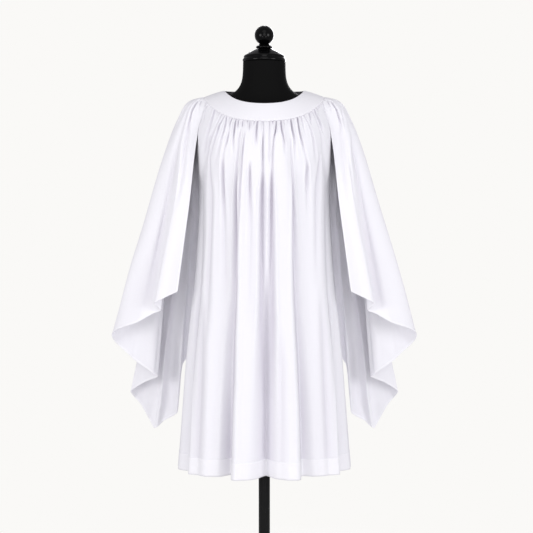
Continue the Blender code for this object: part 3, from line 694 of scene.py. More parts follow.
FRONT_CREASES = (
    crease("edge left b", (1416, -152, 0.7, 2.7), (1408, -156, 2.3, 3), (1397, -160, 1.7, 3),
        (1364, -166, 0, 5.1)),
    crease("outer left", (1398, -134, 1.6, 2.2), (1388, -137, 3.1, 3), (1298, -163, 1.6, 6.5),
        (1266, -167, 0, 9.9)),
    crease("outer left short", (1390, -121, 1.3, 1.7), (1373, -128, 0, 2.4)),
    crease("outer left soft", (1390, -113, 1.3, 1.6), (1345, -135, 1.2, 3.6), (1319, -146, 3.4, 4.2),
        (1252, -162, 0, 9.9)),
    crease("second left", (1381, -107, 1.3, 1.7), (1367, -114, 3.1, 2), (1356, -120, 5.3, 2.2),
        (1345, -123, 2.9, 2.4), (1316, -133, 2.2, 2.5), (1284, -143, 1.7, 3.3), (1270, -146, 1.8, 3.3),
        (1156, -142, 2.8, 8.2), (1075, -143, 2.8, 6.5), (960, -148, 3, 8), (840, -152, 1.5, 10),
        (760, -155, 0, 11)),
    crease("third left", (1378, -101, 2.3, 1.7), (1356, -104, 2.8, 2), (1310, -118, 1.7, 3.1),
        (1243, -133, 0, 6.2)),
    crease("third short", (1379, -84, 1.1, 1.2), (1364, -91, 2.3, 1.4), (1348, -93, 0.8, 1.6),
        (1323, -98, 2.8, 1.9), (1283, -110, 1, 3.2), (1224, -113, 6.1, 3.3), (1103, -111, 2.2, 5),
        (980, -109, 1.5, 7), (860, -107, 0, 9)),
    crease("fourth left", (1378, -75, 1.4, 1.3), (1367, -77, 3.2, 1.5), (1345, -80, 4.8, 1.9),
        (1324, -83, 2.6, 2.2), (1300, -85, 1.2, 2.6), (1277, -86, 0, 3)),
    crease("fourth short", (1375, -66, 1.1, 1.2), (1368, -69, 2.8, 1.5), (1345, -71, 0, 2)),
    crease("fifth short", (1370, -56, 1.3, 1.2), (1362, -58, 2.8, 1.5), (1350, -59, 0, 1.8)),
    crease("long left", (1342, -63, 0.6, 1.6), (1237, -76, 2.5, 3.2), (1190, -77, 7.2, 4.4),
        (1157, -78, 8.8, 5.2), (1062, -77.5, 11.8, 6.6), (956, -77.5, 11.9, 7.8), (870, -80, 10.8, 9),
        (788, -84, 11, 10.5), (685, -86, 11, 12), (580, -91, 11.5, 13), (478, -94, 12, 14),
        (400, -97, 10, 15), sharp=Side.RIGHT),
    crease("long left inner", (1331, -52, 1.2, 1.6), (1296, -56, 2.8, 2), (1184, -64, 2.5, 3.1),
        (996, -71, 0, 3.5), sharp=Side.RIGHT),
    crease("seam bead a", (1371, -45, 2.3, 1.2), (1358, -45, 0, 1.4)),
    crease("seam crease a", (1369, -38, 1.1, 1.2), (1328, -41, 0, 2)),
    crease("seam bead b", (1368, -26, 1.1, 1.2), (1350, -30, 0, 1.4)),
    crease("sixth left", (1369, -18, 2.1, 1.5), (1347, -20, 4.1, 1.9), (1296, -22, 0, 2.7)),
    crease("short left", (1264, -38, 0, 1.8), (1227, -38, 4.3, 2.6), (1205, -38, 4.5, 3),
        (1125, -37, 2.4, 4.2), (1023, -38, 1.4, 5.5), (900, -39, 0.9, 6), (800, -40, 0, 7)),
    crease("seam crease b", (1369, -7, 1, 1.2), (1342, -8, 0, 1.4)),
    crease("seam crease c", (1369, -2, 1.2, 1.2), (1347, -2, 1.1, 1.6), (1301, -4, 4, 2.2),
        (1237, -4, 3, 3), (1200, -5, 7.8, 4.6), (1170, -6, 9.3, 5.6), (1062, -6.5, 9, 6.8),
        (887, -6.5, 9, 8), (820, -6, 8, 9), (700, -4, 5, 10), (600, -2, 0, 11), sharp=Side.LEFT),
    crease("seam crease d", (1369, 15, 1.4, 1.4), (1277, 13, 1.2, 2.1), (1224, 17, 0, 2.6)),
    crease("seam bead c", (1370, 23, 1.9, 1.2), (1355, 23, 0, 1.4)),
    crease("middle right", (1368, 33, 1.7, 1.4), (1339, 30, 4.9, 1.8), (1320, 26, 2.3, 1.9),
        (1251, 22, 2.4, 3), (1190, 21, 7.5, 4.4), (1139, 21, 9.1, 5.6), (1050, 21, 8.6, 6.8),
        (887, 21, 8.6, 8), (820, 21, 7.5, 9), (700, 19, 4, 9.5), (600, 16, 0, 10), sharp=Side.RIGHT),
    crease("seventh right", (1371, 44, 1.5, 1.4), (1350, 46, 4.4, 1.9), (1315, 53, 2.6, 2.3),
        (1275, 57, 0, 3.5)),
    crease("seam crease e", (1371, 52, 1.4, 1.4), (1350, 56, 0, 1.6)),
    crease("eighth right", (1373, 71, 2.8, 1.5), (1361, 73, 5.5, 1.8), (1349, 75, 5.4, 2),
        (1323, 81, 2.8, 2.4), (1265, 87, 0, 3.5)),
    crease("seam bead d", (1377, 76, 1.2, 1.2), (1361, 80, 0, 1.4)),
    crease("long right", (1318, 71, 0.8, 2.2), (1224, 77, 2.5, 3.6), (1144, 80, 7.3, 5),
        (1028, 81.5, 8.8, 8), (887, 84.5, 9.3, 9.5), (788, 90, 9.6, 10.5), (685, 96, 10, 11.5),
        (580, 101.5, 10.5, 12), (478, 104, 10.5, 12.5), (400, 106, 9, 13), sharp=Side.LEFT),
    crease("ninth right", (1379, 88, 2.5, 1.5), (1370, 90, 5.7, 1.6), (1362, 91, 3.2, 1.5),
        (1355, 92, 5.2, 1.6), (1272, 113, 1.1, 3), (1256, 116, 2.2, 2.9), (1239, 117, 5.2, 3.3),
        (1224, 117, 5, 3.6), (1184, 118, 2.2, 4.1), (1108, 119, 0, 4.4)),
    crease("seam crease f", (1382, 98, 1.7, 1.5), (1319, 114, 0, 3.4)),
    crease("tenth right", (1387, 105, 1.8, 1.5), (1351, 123, 1.8, 2.3), (1321, 131, 1.8, 2.8),
        (1244, 140, 0, 6.5)),
    crease("seam crease g", (1395, 120, 1.9, 1.7), (1386, 122, 2.8, 2), (1357, 126, 0, 2.8)),
    crease("soft right", (1395, 131, 0.8, 1.9), (1324, 157, 1.6, 4.1), (1287, 161, 0, 6.6)),
    crease("outer right", (1402, 135, 2.4, 2.6), (1390, 139, 4.1, 2.9), (1378, 145, 5.3, 3.3),
        (1362, 152, 3.8, 3.4), (1349, 157, 1.7, 3.8), (1336, 160, 0, 3.8)),
    crease("seam bead e", (1411, 142, 1.2, 2.1), (1405, 144, 1.9, 2.6), (1395, 146, 0, 2.6)),
    crease("seam bead f", (1417, 148, 2, 2.3), (1402, 152, 0, 3)),
    crease("middle fold", (1010, 8, 0, 8), (930, 8, 5, 9), (850, 7, 11, 11), (780, 6, 15, 13),
        (700, 5, 18, 15), (600, 5, 19, 15.5), (500, 5, 18, 16), (440, 5, 16, 17), (400, 5, 15, 17)),
    crease("left side", (920, -184, 0, 6), (840, -191, 4, 7), (777, -195, 6, 8), (685, -199, 8, 9),
        (580, -203, 9, 10), (478, -207, 9, 11), (400, -211, 9, 12), sharp=Side.RIGHT),
    crease("right side", (920, 180, 0, 6), (860, 186, 4, 7), (777, 191, 6, 8), (685, 196, 8, 9),
        (580, 200, 9, 10), (478, 205, 9, 11), (400, 209, 9, 12), sharp=Side.LEFT),
    crease("middle side", (820, 42, 0, 7), (700, 45, 3, 8), (400, 45, 2, 10)),
    crease("shoulder right", (1287, 151, 0, 3), (1266, 149, 3.4, 3.7), (1180, 141, 2.6, 7.8),
        (1075, 139, 1.6, 7), (900, 139, 0, 9)),
    crease("left soft", (900, -160, 0, 10), (800, -166, 3, 13), (685, -170, 5, 14), (580, -174, 6, 15),
        (478, -178, 6, 16), (400, -181, 6, 17)),
    crease("right soft", (900, 150, 0, 10), (800, 158, 3, 14), (685, 163, 5, 15), (580, 168, 7, 16),
        (478, 172, 7, 17), (400, 175, 6, 18)),
    crease("gather left", (1366, -40, 0.8, 1.2), (1358, -39.5, 1.8, 1.4), (1340, -40, 0, 1.8)),
    crease("soft middle left", (1345, -65, 0, 1.8), (1330, -67, 1.4, 1.8), (1305, -71, 0.8, 2.2),
        (1280, -73, 0, 2.6)),
)
BACK_CREASES = (
    crease("outer left", (1398, -128, 2.6, 2), (1380, -140, 3.4, 2.2), (1340, -152, 2.4, 2.6),
        (1290, -160, 1.4, 3.4), (1200, -158, 2, 5), (1080, -156, 0, 7)),
    crease("second left", (1405, -96, 2.8, 1.8), (1385, -106, 3.6, 2), (1345, -120, 3, 2.4),
        (1290, -130, 1.6, 2.8), (1210, -132, 3, 4), (1100, -130, 1.6, 6), (1000, -128, 0, 8)),
    crease("long left", (1395, -70, 1.8, 2), (1340, -84, 2.4, 2.4), (1260, -96, 5, 3.4), (1120, -102, 9, 6),
        (900, -107, 7, 9), (640, -126, 2, 15), (520, -130, 0, 18), sharp=Side.RIGHT),
    crease("short left", (1345, -44, 0, 1.8), (1300, -50, 4.4, 2.6), (1230, -53, 4.2, 3.2),
        (1140, -55, 2, 3.6), (1040, -56, 0, 4)),
    crease("seam crease a", (1405, -58, 3.6, 1.6), (1380, -62, 3.8, 1.8), (1350, -66, 1.6, 2.2),
        (1320, -70, 0, 2.6)),
    crease("seam crease b", (1406, -30, 3, 1.6), (1384, -33, 3.6, 1.8), (1352, -36, 0, 2.4)),
    crease("middle", (1400, -6, 2.4, 1.8), (1350, -4, 2.6, 2.2), (1290, 0, 4, 3), (1150, 3, 8.4, 5.6),
        (900, 6, 7, 8), (640, 8, 3, 13), (500, 9, 0, 16), sharp=Side.LEFT),
    crease("seam crease c", (1406, 22, 3.4, 1.6), (1380, 24, 3, 1.8), (1340, 26, 0, 2.4)),
    crease("short right", (1404, 40, 3.2, 1.8), (1370, 42, 4, 2.2), (1300, 42, 2, 2.8), (1200, 42, 4, 3.6),
        (1100, 43, 2, 5), (1000, 43, 0, 6)),
    crease("long right", (1400, 62, 3.6, 1.8), (1350, 70, 3.8, 2.4), (1260, 80, 4.6, 3.4),
        (1120, 84, 8.6, 6), (900, 88, 7, 9), (640, 98, 2, 14), (520, 100, 0, 17), sharp=Side.LEFT),
    crease("ninth right", (1404, 86, 2.8, 1.6), (1380, 94, 4.2, 2), (1340, 104, 2.6, 2.6),
        (1290, 112, 1, 3.2), (1220, 114, 3.8, 3.8), (1130, 114, 0, 5)),
    crease("outer right", (1402, 118, 3.8, 1.8), (1380, 128, 4.4, 2.2), (1330, 140, 3, 2.8),
        (1250, 146, 2, 4), (1120, 146, 0, 6)),
)


@dataclass(frozen=True)
class YokeShape:
    """The round yoke's surface, from the neckline to its sewn outer edge."""

    half_widths: tuple = (0.110, 0.166)
    fronts: tuple = (0.105, 0.135)
    backs: tuple = (0.095, 0.125)
    side_heights: tuple = (1.4584, 1.440)
    front_drops: tuple = (0.040, 0.070)
    back_drops: tuple = (-0.004, 0.032)
    crown: float = 0.0015
    crown_lean: tuple = (0.3, 0.95)    # how its crown leans out and up
    panel_degrees: float = 72.0

    def points(self, degrees: Numbers, share: Numbers) -> np.ndarray:
        """Points of the yoke.

        Args:
            degrees: places round it, from 0 at the front.
            share: from 0 at the neckline to 1 at the seam.

        Returns:
            A point for each pair.
        """
        angle = np.radians(degrees)
        s, c = np.sin(angle), np.cos(angle)
        front = c >= 0
        rings = [np.stack([
            self.half_widths[i] * s,
            -np.where(front, self.fronts[i], self.backs[i]) * c,
            self.side_heights[i]
            - np.where(front, self.front_drops[i], self.back_drops[i]) * shoulder_drop(abs(c)),
        ], axis=-1) for i in (0, 1)]
        share = np.asarray(share, float)[..., None]
        out, up = self.crown_lean
        lift = np.stack([out * s, -out * c, np.full_like(s, up)], axis=-1)
        return rings[0] + (rings[1] - rings[0]) * share + lift * self.crown * 4 * share * (1 - share)

    def normals(self, degrees: Numbers, share: Numbers) -> np.ndarray:
        """The yoke's upward unit normals.

        Args:
            degrees: places round it, from 0 at the front.
            share: from 0 at the neckline to 1 at the seam.

        Returns:
            A normal for each pair.
        """
        across = self.points(degrees + 0.5, share) - self.points(degrees - 0.5, share)
        down = self.points(degrees, share + 0.01) - self.points(degrees, share - 0.01)
        normals = normalised(np.cross(down, across))
        return normals * np.where(normals[..., 2:] < 0, -1, 1)


@dataclass(frozen=True)
class PanelShape:
    """A gathered body panel's surface; facing is -1 for the front and 1 for the back."""

    facing: int
    rings: tuple
    folds: tuple
    creases: tuple
    salt: float                      # makes this panel's gathers its own
    gathers: int = 44
    gather_depth: float = 0.0019
    gather_width: float = 0.0013 / 0.21   # half-width as a share of half the seam
    gather_slant: float = 1.8        # how fast the gathers spread, to each metre down
    shortest_gather: float = 0.012
    gather_spread: float = 0.030     # how much longer the longest is
    gather_grow: float = 0.005       # distance off the seam over which a gather deepens
    seam_reach: float = 0.006        # distance off the seam over which the creases grow
    puff: float = 0.0026             # how far the gathered cloth swells off the body
    puff_reach: float = 0.11
    rise: tuple = (0.0004, 0.0008)   # lift at the seam, and the further lift just below it
    rise_reach: float = 0.003
    flat_edge: float = 0.02          # share of the half-width over which the relief dies out
    shade_depth: float = 0.0036      # gather depth that gets the full painted shade

    @functools.cached_property
    def drops(self) -> np.ndarray:
        """How far down the panel's middle each ring lies.

        Returns:
            The distances in metres, from 0 at the yoke seam.
        """
        steps = [math.hypot(below.depth - above.depth, below.middle_z - above.middle_z)
                 for above, below in zip(self.rings, self.rings[1:])]
        return np.concatenate([[0.0], np.cumsum(steps)])

    @property
    def length(self) -> float:
        """Length of the panel down its middle."""
        return float(self.drops[-1])

    def level(self, name: str) -> float:
        """How far down the panel a ring lies, from 0 at the yoke to 1 at the hem."""
        return self.drops[[ring.name for ring in self.rings].index(name)] / self.length

    def column(self, down: np.ndarray, what: str) -> np.ndarray:
        """One measure of the rings, drawn smoothly down the panel.

        Args:
            down: places down it, from 0 at the yoke to 1 at the hem.
            what: the name of the measure.

        Returns:
            The measure at each place.
        """
        values = [getattr(ring, what) for ring in self.rings]
        found = smooth_through(self.drops / self.length, values, down.ravel(), level_turns=True)
        return found.reshape(down.shape)

    def base(self, across: Numbers, down: Numbers) -> np.ndarray:
        """Points of the unfolded panel.

        Args:
            across: from -1 to 1 between the side edges.
            down: from 0 at the yoke to 1 at the hem.

        Returns:
            A point for each pair.
        """
        across, down = np.broadcast_arrays(np.asarray(across, float), np.asarray(down, float))
        edge = np.radians(self.column(down, "edge_angle"))
        angle = edge * across
        rise = (1 - shoulder_drop(np.cos(angle))) / (1 - shoulder_drop(np.cos(edge)))
        middle_z, edge_z = self.column(down, "middle_z"), self.column(down, "edge_z")
        return np.stack([
            self.column(down, "half_width") * np.sin(angle),
            self.facing * self.column(down, "depth") * np.cos(angle),
            middle_z + (edge_z - middle_z) * rise,
        ], axis=-1)

    def base_normals(self, across: Numbers, down: Numbers) -> np.ndarray:
        """The unfolded panel's outward unit normals.

        Args:
            across: from -1 to 1 between the side edges.
            down: from 0 at the yoke to 1 at the hem.

        Returns:
            A normal for each pair.
        """
        step = 0.004
        along = self.base(across + step, down) - self.base(across - step, down)
        inside = np.clip(down, step, 1 - step)
        fall = self.base(across, inside + step) - self.base(across, inside - step)
        return facing_out(normalised(np.cross(along, fall)), self.base(across, down))

    def fold_line(self, cloth: np.ndarray, down: np.ndarray) -> tuple:
        """Where each strand of cloth runs, from the fold table.

        Args:
            cloth: the strands, from -1 to 1 across the flat cloth.
            down: the places down the panel.

        Returns:
            Two grids: place across, and distance out in metres.
        """
        levels = (0.0, self.level("armhole"), self.level("waist"), 1.0)
        threads = [fold.cloth for fold in self.folds]
        places, outs = [], []
        for name, share in (("chest", 0.0), ("chest", 1.0), ("waist", 1.0), ("hem", 1.0)):
            place = [getattr(fold, name + "_place") / 90 for fold in self.folds]
            out = [getattr(fold, name + "_out") * MM * share for fold in self.folds]
            places.append(smooth_through(threads, place, cloth))
            outs.append(smooth_through(threads, out, cloth))
        return smooth_through(levels, np.array(places), down), smooth_through(levels, np.array(outs), down)

    def gather_depths(self, place: np.ndarray, down: np.ndarray) -> np.ndarray:
        """How far in the fine puckers right under the yoke pull the cloth, each in its own size.

        Args:
            place: a grid of places across the panel.
            down: the grid's places down the panel.

        Returns:
            The depth at each point in metres.
        """
        total = np.zeros_like(place)
        reach = down[:, None] * self.length
        for k in range(self.gathers):
            size = hash01(k, self.salt)
            start = (k + 0.5 + 0.5 * (hash01(k, self.salt + 2) - 0.5)) / self.gathers * 2 - 1
            length = self.shortest_gather + self.gather_spread * hash01(k, self.salt + 1) ** 2
            centre = start * (1 + self.gather_slant * reach)
            grow = 0.3 + 0.7 * ease(reach / self.gather_grow)
            fade = 1 - ease((reach / length - 0.2) / 0.8)
            depth = self.gather_depth * (0.35 + 0.85 * size) * grow * fade
            across = (place - centre) / (self.gather_width * (1 + 0.7 * size))
            total = np.maximum(total, depth * np.exp(-np.abs(across) ** SOFT_SIDE))
        return total

    def points(self, cloth: np.ndarray, down: np.ndarray) -> np.ndarray:
        """A grid of the folded panel.

        Args:
            cloth: strands of cloth, from -1 to 1 across the flat panel.
            down: places down it, from 0 at the yoke to 1 at the hem.

        Returns:
            Points, a row for each place down and a column for each strand.
        """
        place, out = self.fold_line(cloth, down)
        rows = np.broadcast_to(down[:, None], place.shape)
        base = self.base(place, rows)
        half_width = self.column(rows, "half_width")
        degrees = place * self.column(rows, "edge_angle")
        reach = rows * self.length
        off_seam, fade = ease(reach / self.seam_reach), 1 - ease(reach / self.puff_reach)
        pulled = sum(crease.pull(base[..., 2], degrees, half_width)[0] for crease in self.creases)
        out = out - pulled * (0.25 + 0.75 * off_seam) + self.puff * off_seam * fade
        out = (out - self.gather_depths(place, down)) * ease((1 - abs(cloth)) / self.flat_edge)
        out = out + (self.rise[0] + self.rise[1] * np.clip(reach / self.rise_reach, 0, 1)) * fade
        return base + self.base_normals(place, rows) * out[..., None]

    def shade(self, cloth: np.ndarray, down: np.ndarray) -> np.ndarray:
        """How much painted shade each point of the same grid gets, from how deep in a crease it lies.

        Args:
            cloth: strands of cloth, from -1 to 1 across the flat panel.
            down: places down it, from 0 at the yoke to 1 at the hem.

        Returns:
            A grid of shares from 0 to 1.
        """
        place, _ = self.fold_line(cloth, down)
        rows = np.broadcast_to(down[:, None], place.shape)
        degrees = place * self.column(rows, "edge_angle")
        z, half_width = self.base(place, rows)[..., 2], self.column(rows, "half_width")
        steep = np.max([crease.pull(z, degrees, half_width)[1] for crease in self.creases], axis=0)
        return np.clip(steep + self.gather_depths(place, down) / self.shade_depth, 0, 1)


FRONT = PanelShape(-1, FRONT_RINGS, FRONT_FOLDS, FRONT_CREASES, salt=1.0)
BACK = PanelShape(1, BACK_RINGS, BACK_FOLDS, BACK_CREASES, salt=5.0)
YOKE = YokeShape()


class SleeveFold(NamedTuple):
    """A fold line of the sleeve at -X: degrees round the shoulder, then its hem in millimetres."""

    turn: float
    hem_x: float
    hem_y: float
    hem_z: float


class Dip(NamedTuple):
    """A trough of the sleeve at one place: percent down and round it, millimetres deep, percent wide."""

    down: float
    turn: float
    depth: float
    width: float


@dataclass(frozen=True)
class Trough:
    """A gather or a soft trough that runs down a sleeve."""

    name: str
    dips: tuple
    inside: bool = False         # runs down a layer that shows its inside
    fullness: float = 2.0
    half_depth: float = 14.0     # in millimetres
    lip: float = 0.2
    fade: float = 2.0            # percent of the way down over which its ends die out

    def depth_at(self, down: np.ndarray, turn_share: np.ndarray) -> np.ndarray:
        """How far in the trough pulls the cloth.

        Args:
            down: places down the sleeve, from 0 to 1.
            turn_share: places round it, from 0 at its front edge to 1 at its rear edge.

        Returns:
            A grid of depths in metres, a row for each place down.
        """
        table = np.array(self.dips)
        at = np.clip(down * 100, table[0, 0], table[-1, 0])
        turn, depth, width = smooth_through(table[:, 0], table[:, 1:], at, level_turns=True).T[:, :, None]
        percent = down * 100
        ends = ease((percent - table[0, 0]) / self.fade + 1) * ease((table[-1, 0] - percent) / self.fade + 1)
        depth = self.fullness * depth * MM / (1 + np.abs(depth) / self.half_depth)
        across = np.abs(turn_share * 100 - turn) / width
        return depth * ends[:, None] * (np.exp(-across ** SOFT_SIDE) - self.lip * lips(across))


def trough(name: str, *rows: tuple) -> Trough:
    """A trough from its name and the rows of its track."""
    return Trough(name, tuple(Dip(*row) for row in rows))


def inner_fold(name: str, *rows: tuple) -> Trough:
    """A ridge (positive) or a valley (negative) of a layer that shows its inside below the hem."""
    return Trough(name, tuple(Dip(*row) for row in rows), inside=True)


SLEEVE_FOLDS = (
    SleeveFold(0, -238, -80, 905), SleeveFold(13, -274, -95, 889), SleeveFold(24, -302, -88, 873),
    SleeveFold(33, -286, -66, 853), SleeveFold(42, -310, -54, 841), SleeveFold(58, -352, -58, 818),
    SleeveFold(84, -428, -18, 781), SleeveFold(101, -374, 27, 707), SleeveFold(112, -316, 38, 662),
    SleeveFold(118, -304, 49, 651), SleeveFold(127, -346, 77, 631), SleeveFold(137, -388, 98, 602),
    SleeveFold(145, -358, 120, 559), SleeveFold(152, -321, 130, 489), SleeveFold(159, -291, 124, 513),
    SleeveFold(166, -254, 108, 536), SleeveFold(171, -248, 121, 610), SleeveFold(176, -239, 129, 676),
    SleeveFold(180, -214, 131, 712),
)
BACK_TROUGHS = (
    trough("back gather", (3, 72, 2, 1.4), (8, 74, 3.6, 1.3), (14, 78, 4, 1.7), (22, 84, 3.2, 2.6),
        (36, 88, 3, 3), (52, 90, 0, 3.4)),
    trough("back short gather", (2, 80, 2, 1.6), (6, 84, 2.4, 1.9), (12, 90, 0, 2.2)),
    trough("back upper gather", (3, 65, 1.6, 1.2), (10, 67, 2.2, 1.2), (24, 70, 0, 2)),
    trough("top gather", (2, 46, 1.6, 1.2), (8, 47, 2.4, 1.2), (18, 48, 0, 1.8)),
    trough("top short gather", (2, 56, 1.6, 1.2), (8, 57, 2, 1.1), (14, 57, 0, 1.6)),
    inner_fold("inner face valley", (84, 36.2, 0, 1.6), (92, 37.2, -8, 2), (97, 36.6, -9, 1.6),
        (100, 35.8, -5, 1.3)),
    inner_fold("low valley", (84, 64.5, 0, 1.6), (93, 65.5, -7, 2.2), (100, 64.2, -5, 1.8)),
    inner_fold("low ridge", (70, 73.6, 0, 1.4), (84, 73.8, 4, 1.6), (93, 74.2, 8, 1.8),
        (100, 73.6, 4, 1.4)),
    inner_fold("grey valley", (74, 78, 0, 2.4), (86, 79.2, -6, 2.8), (95, 79.8, -8, 2.6),
        (100, 79.5, -3, 2.2)),
    inner_fold("inner face ridge", (70, 43, 0, 1.4), (86, 43.2, 3, 1.5), (98, 43.6, 2, 1.4),
        (100, 43.6, 0, 1.4)),
    trough("back trough", (26, 74, 3, 2.2), (45, 74, 8, 3.2), (70, 73, 10, 3.4), (88, 72, 0, 3)),
    trough("side trough", (30, 54, 2, 2), (55, 56, 7, 3), (80, 57, 0, 3)),
)
LEFT_TROUGHS = (
    trough("long gather", (5.2, 25.4, 2.2, 1), (6.6, 24.2, 4.4, 0.95), (8.6, 22.9, 6.6, 1.1),
        (12.2, 21.4, 6.4, 1.25), (13.4, 20.6, 5.4, 1.4), (14.9, 18.9, 4.4, 1.8), (18.2, 15.9, 3.8, 2),
        (21.7, 13.2, 3.8, 2.8), (30.6, 10.3, 4.4, 2.6), (44.2, 8.6, 3.4, 2.4), (57.7, 9, 0, 2.9)),
    trough("upper gather", (3.9, 28.9, 0.8, 0.8), (7.7, 27.5, 2.3, 0.75), (13.3, 26.1, 1.9, 0.85),
        (18.5, 24.4, 1.8, 1.2), (26, 23.4, 0, 1.6)),
    trough("outer gather", (11, 30.4, 0.9, 0.45), (14.6, 31, 2, 0.5), (19.6, 30.7, 1.7, 0.65),
        (25.8, 29.2, 0, 0.85)),
    trough("short gather", (3.4, 20.9, 1.4, 1.6), (5.2, 17.2, 1.9, 1.8), (7.2, 13.9, 1.1, 1.9),
        (14.9, 4.7, 0, 1.9)),
    trough("main trough", (20, 23.4, 0, 2.2), (31, 23.7, 3.4, 2.7), (35.5, 23.9, 6.2, 3.1),
        (44.6, 24.9, 8.5, 3.5), (54.1, 25.1, 8.5, 3.1), (60.1, 25.1, 9.6, 2.6), (69, 25.1, 11, 2.9),
        (76, 25.4, 10, 3.8), (88, 26.2, 9, 4.4), (93, 26.3, 6, 4.2), (98.3, 26, 0, 4)),
)
RIGHT_TROUGHS = (
    trough("long gather", (5.2, 25.4, 2.2, 1), (6.6, 24.3, 4.6, 0.95), (8.6, 23.2, 6.4, 1),
        (12.3, 22.1, 6.2, 1.1), (15.3, 20, 5.2, 1.7), (18.5, 17.4, 3, 2.1), (22.5, 13.9, 2.2, 3.3),
        (30.6, 9.8, 4, 4.2), (44.2, 7.3, 3.8, 3.3), (62.9, 5.4, 0, 3)),
    trough("short gather", (3.3, 21.9, 1.3, 1.4), (4.7, 19.3, 2.5, 1.8), (6.6, 17.2, 1.9, 1.7),
        (12.3, 10.8, 0, 2.1)),
    trough("upper gather", (6.9, 30.1, 0.7, 0.6), (12.3, 28.8, 1.5, 0.6), (15.5, 26.2, 2, 0.9),
        (22.7, 21.6, 0, 2.2)),
    trough("outer gather", (11.3, 32.1, 1, 0.45), (17, 32.9, 1.8, 0.65), (24.9, 29.8, 0, 0.85)),
    trough("main trough", (18, 27.4, 0, 1.6), (27.8, 27.1, 2.5, 1.8), (31.3, 26, 5, 2.3),
        (35.9, 25.3, 7.4, 2.6), (50.4, 25.3, 9, 2.7), (60.1, 24.9, 10, 3.1), (70.2, 24.7, 10, 3.5),
        (80.5, 24.8, 9.4, 4.2), (91.8, 24.9, 7.6, 4.2), (98.4, 25, 0, 4)),
)


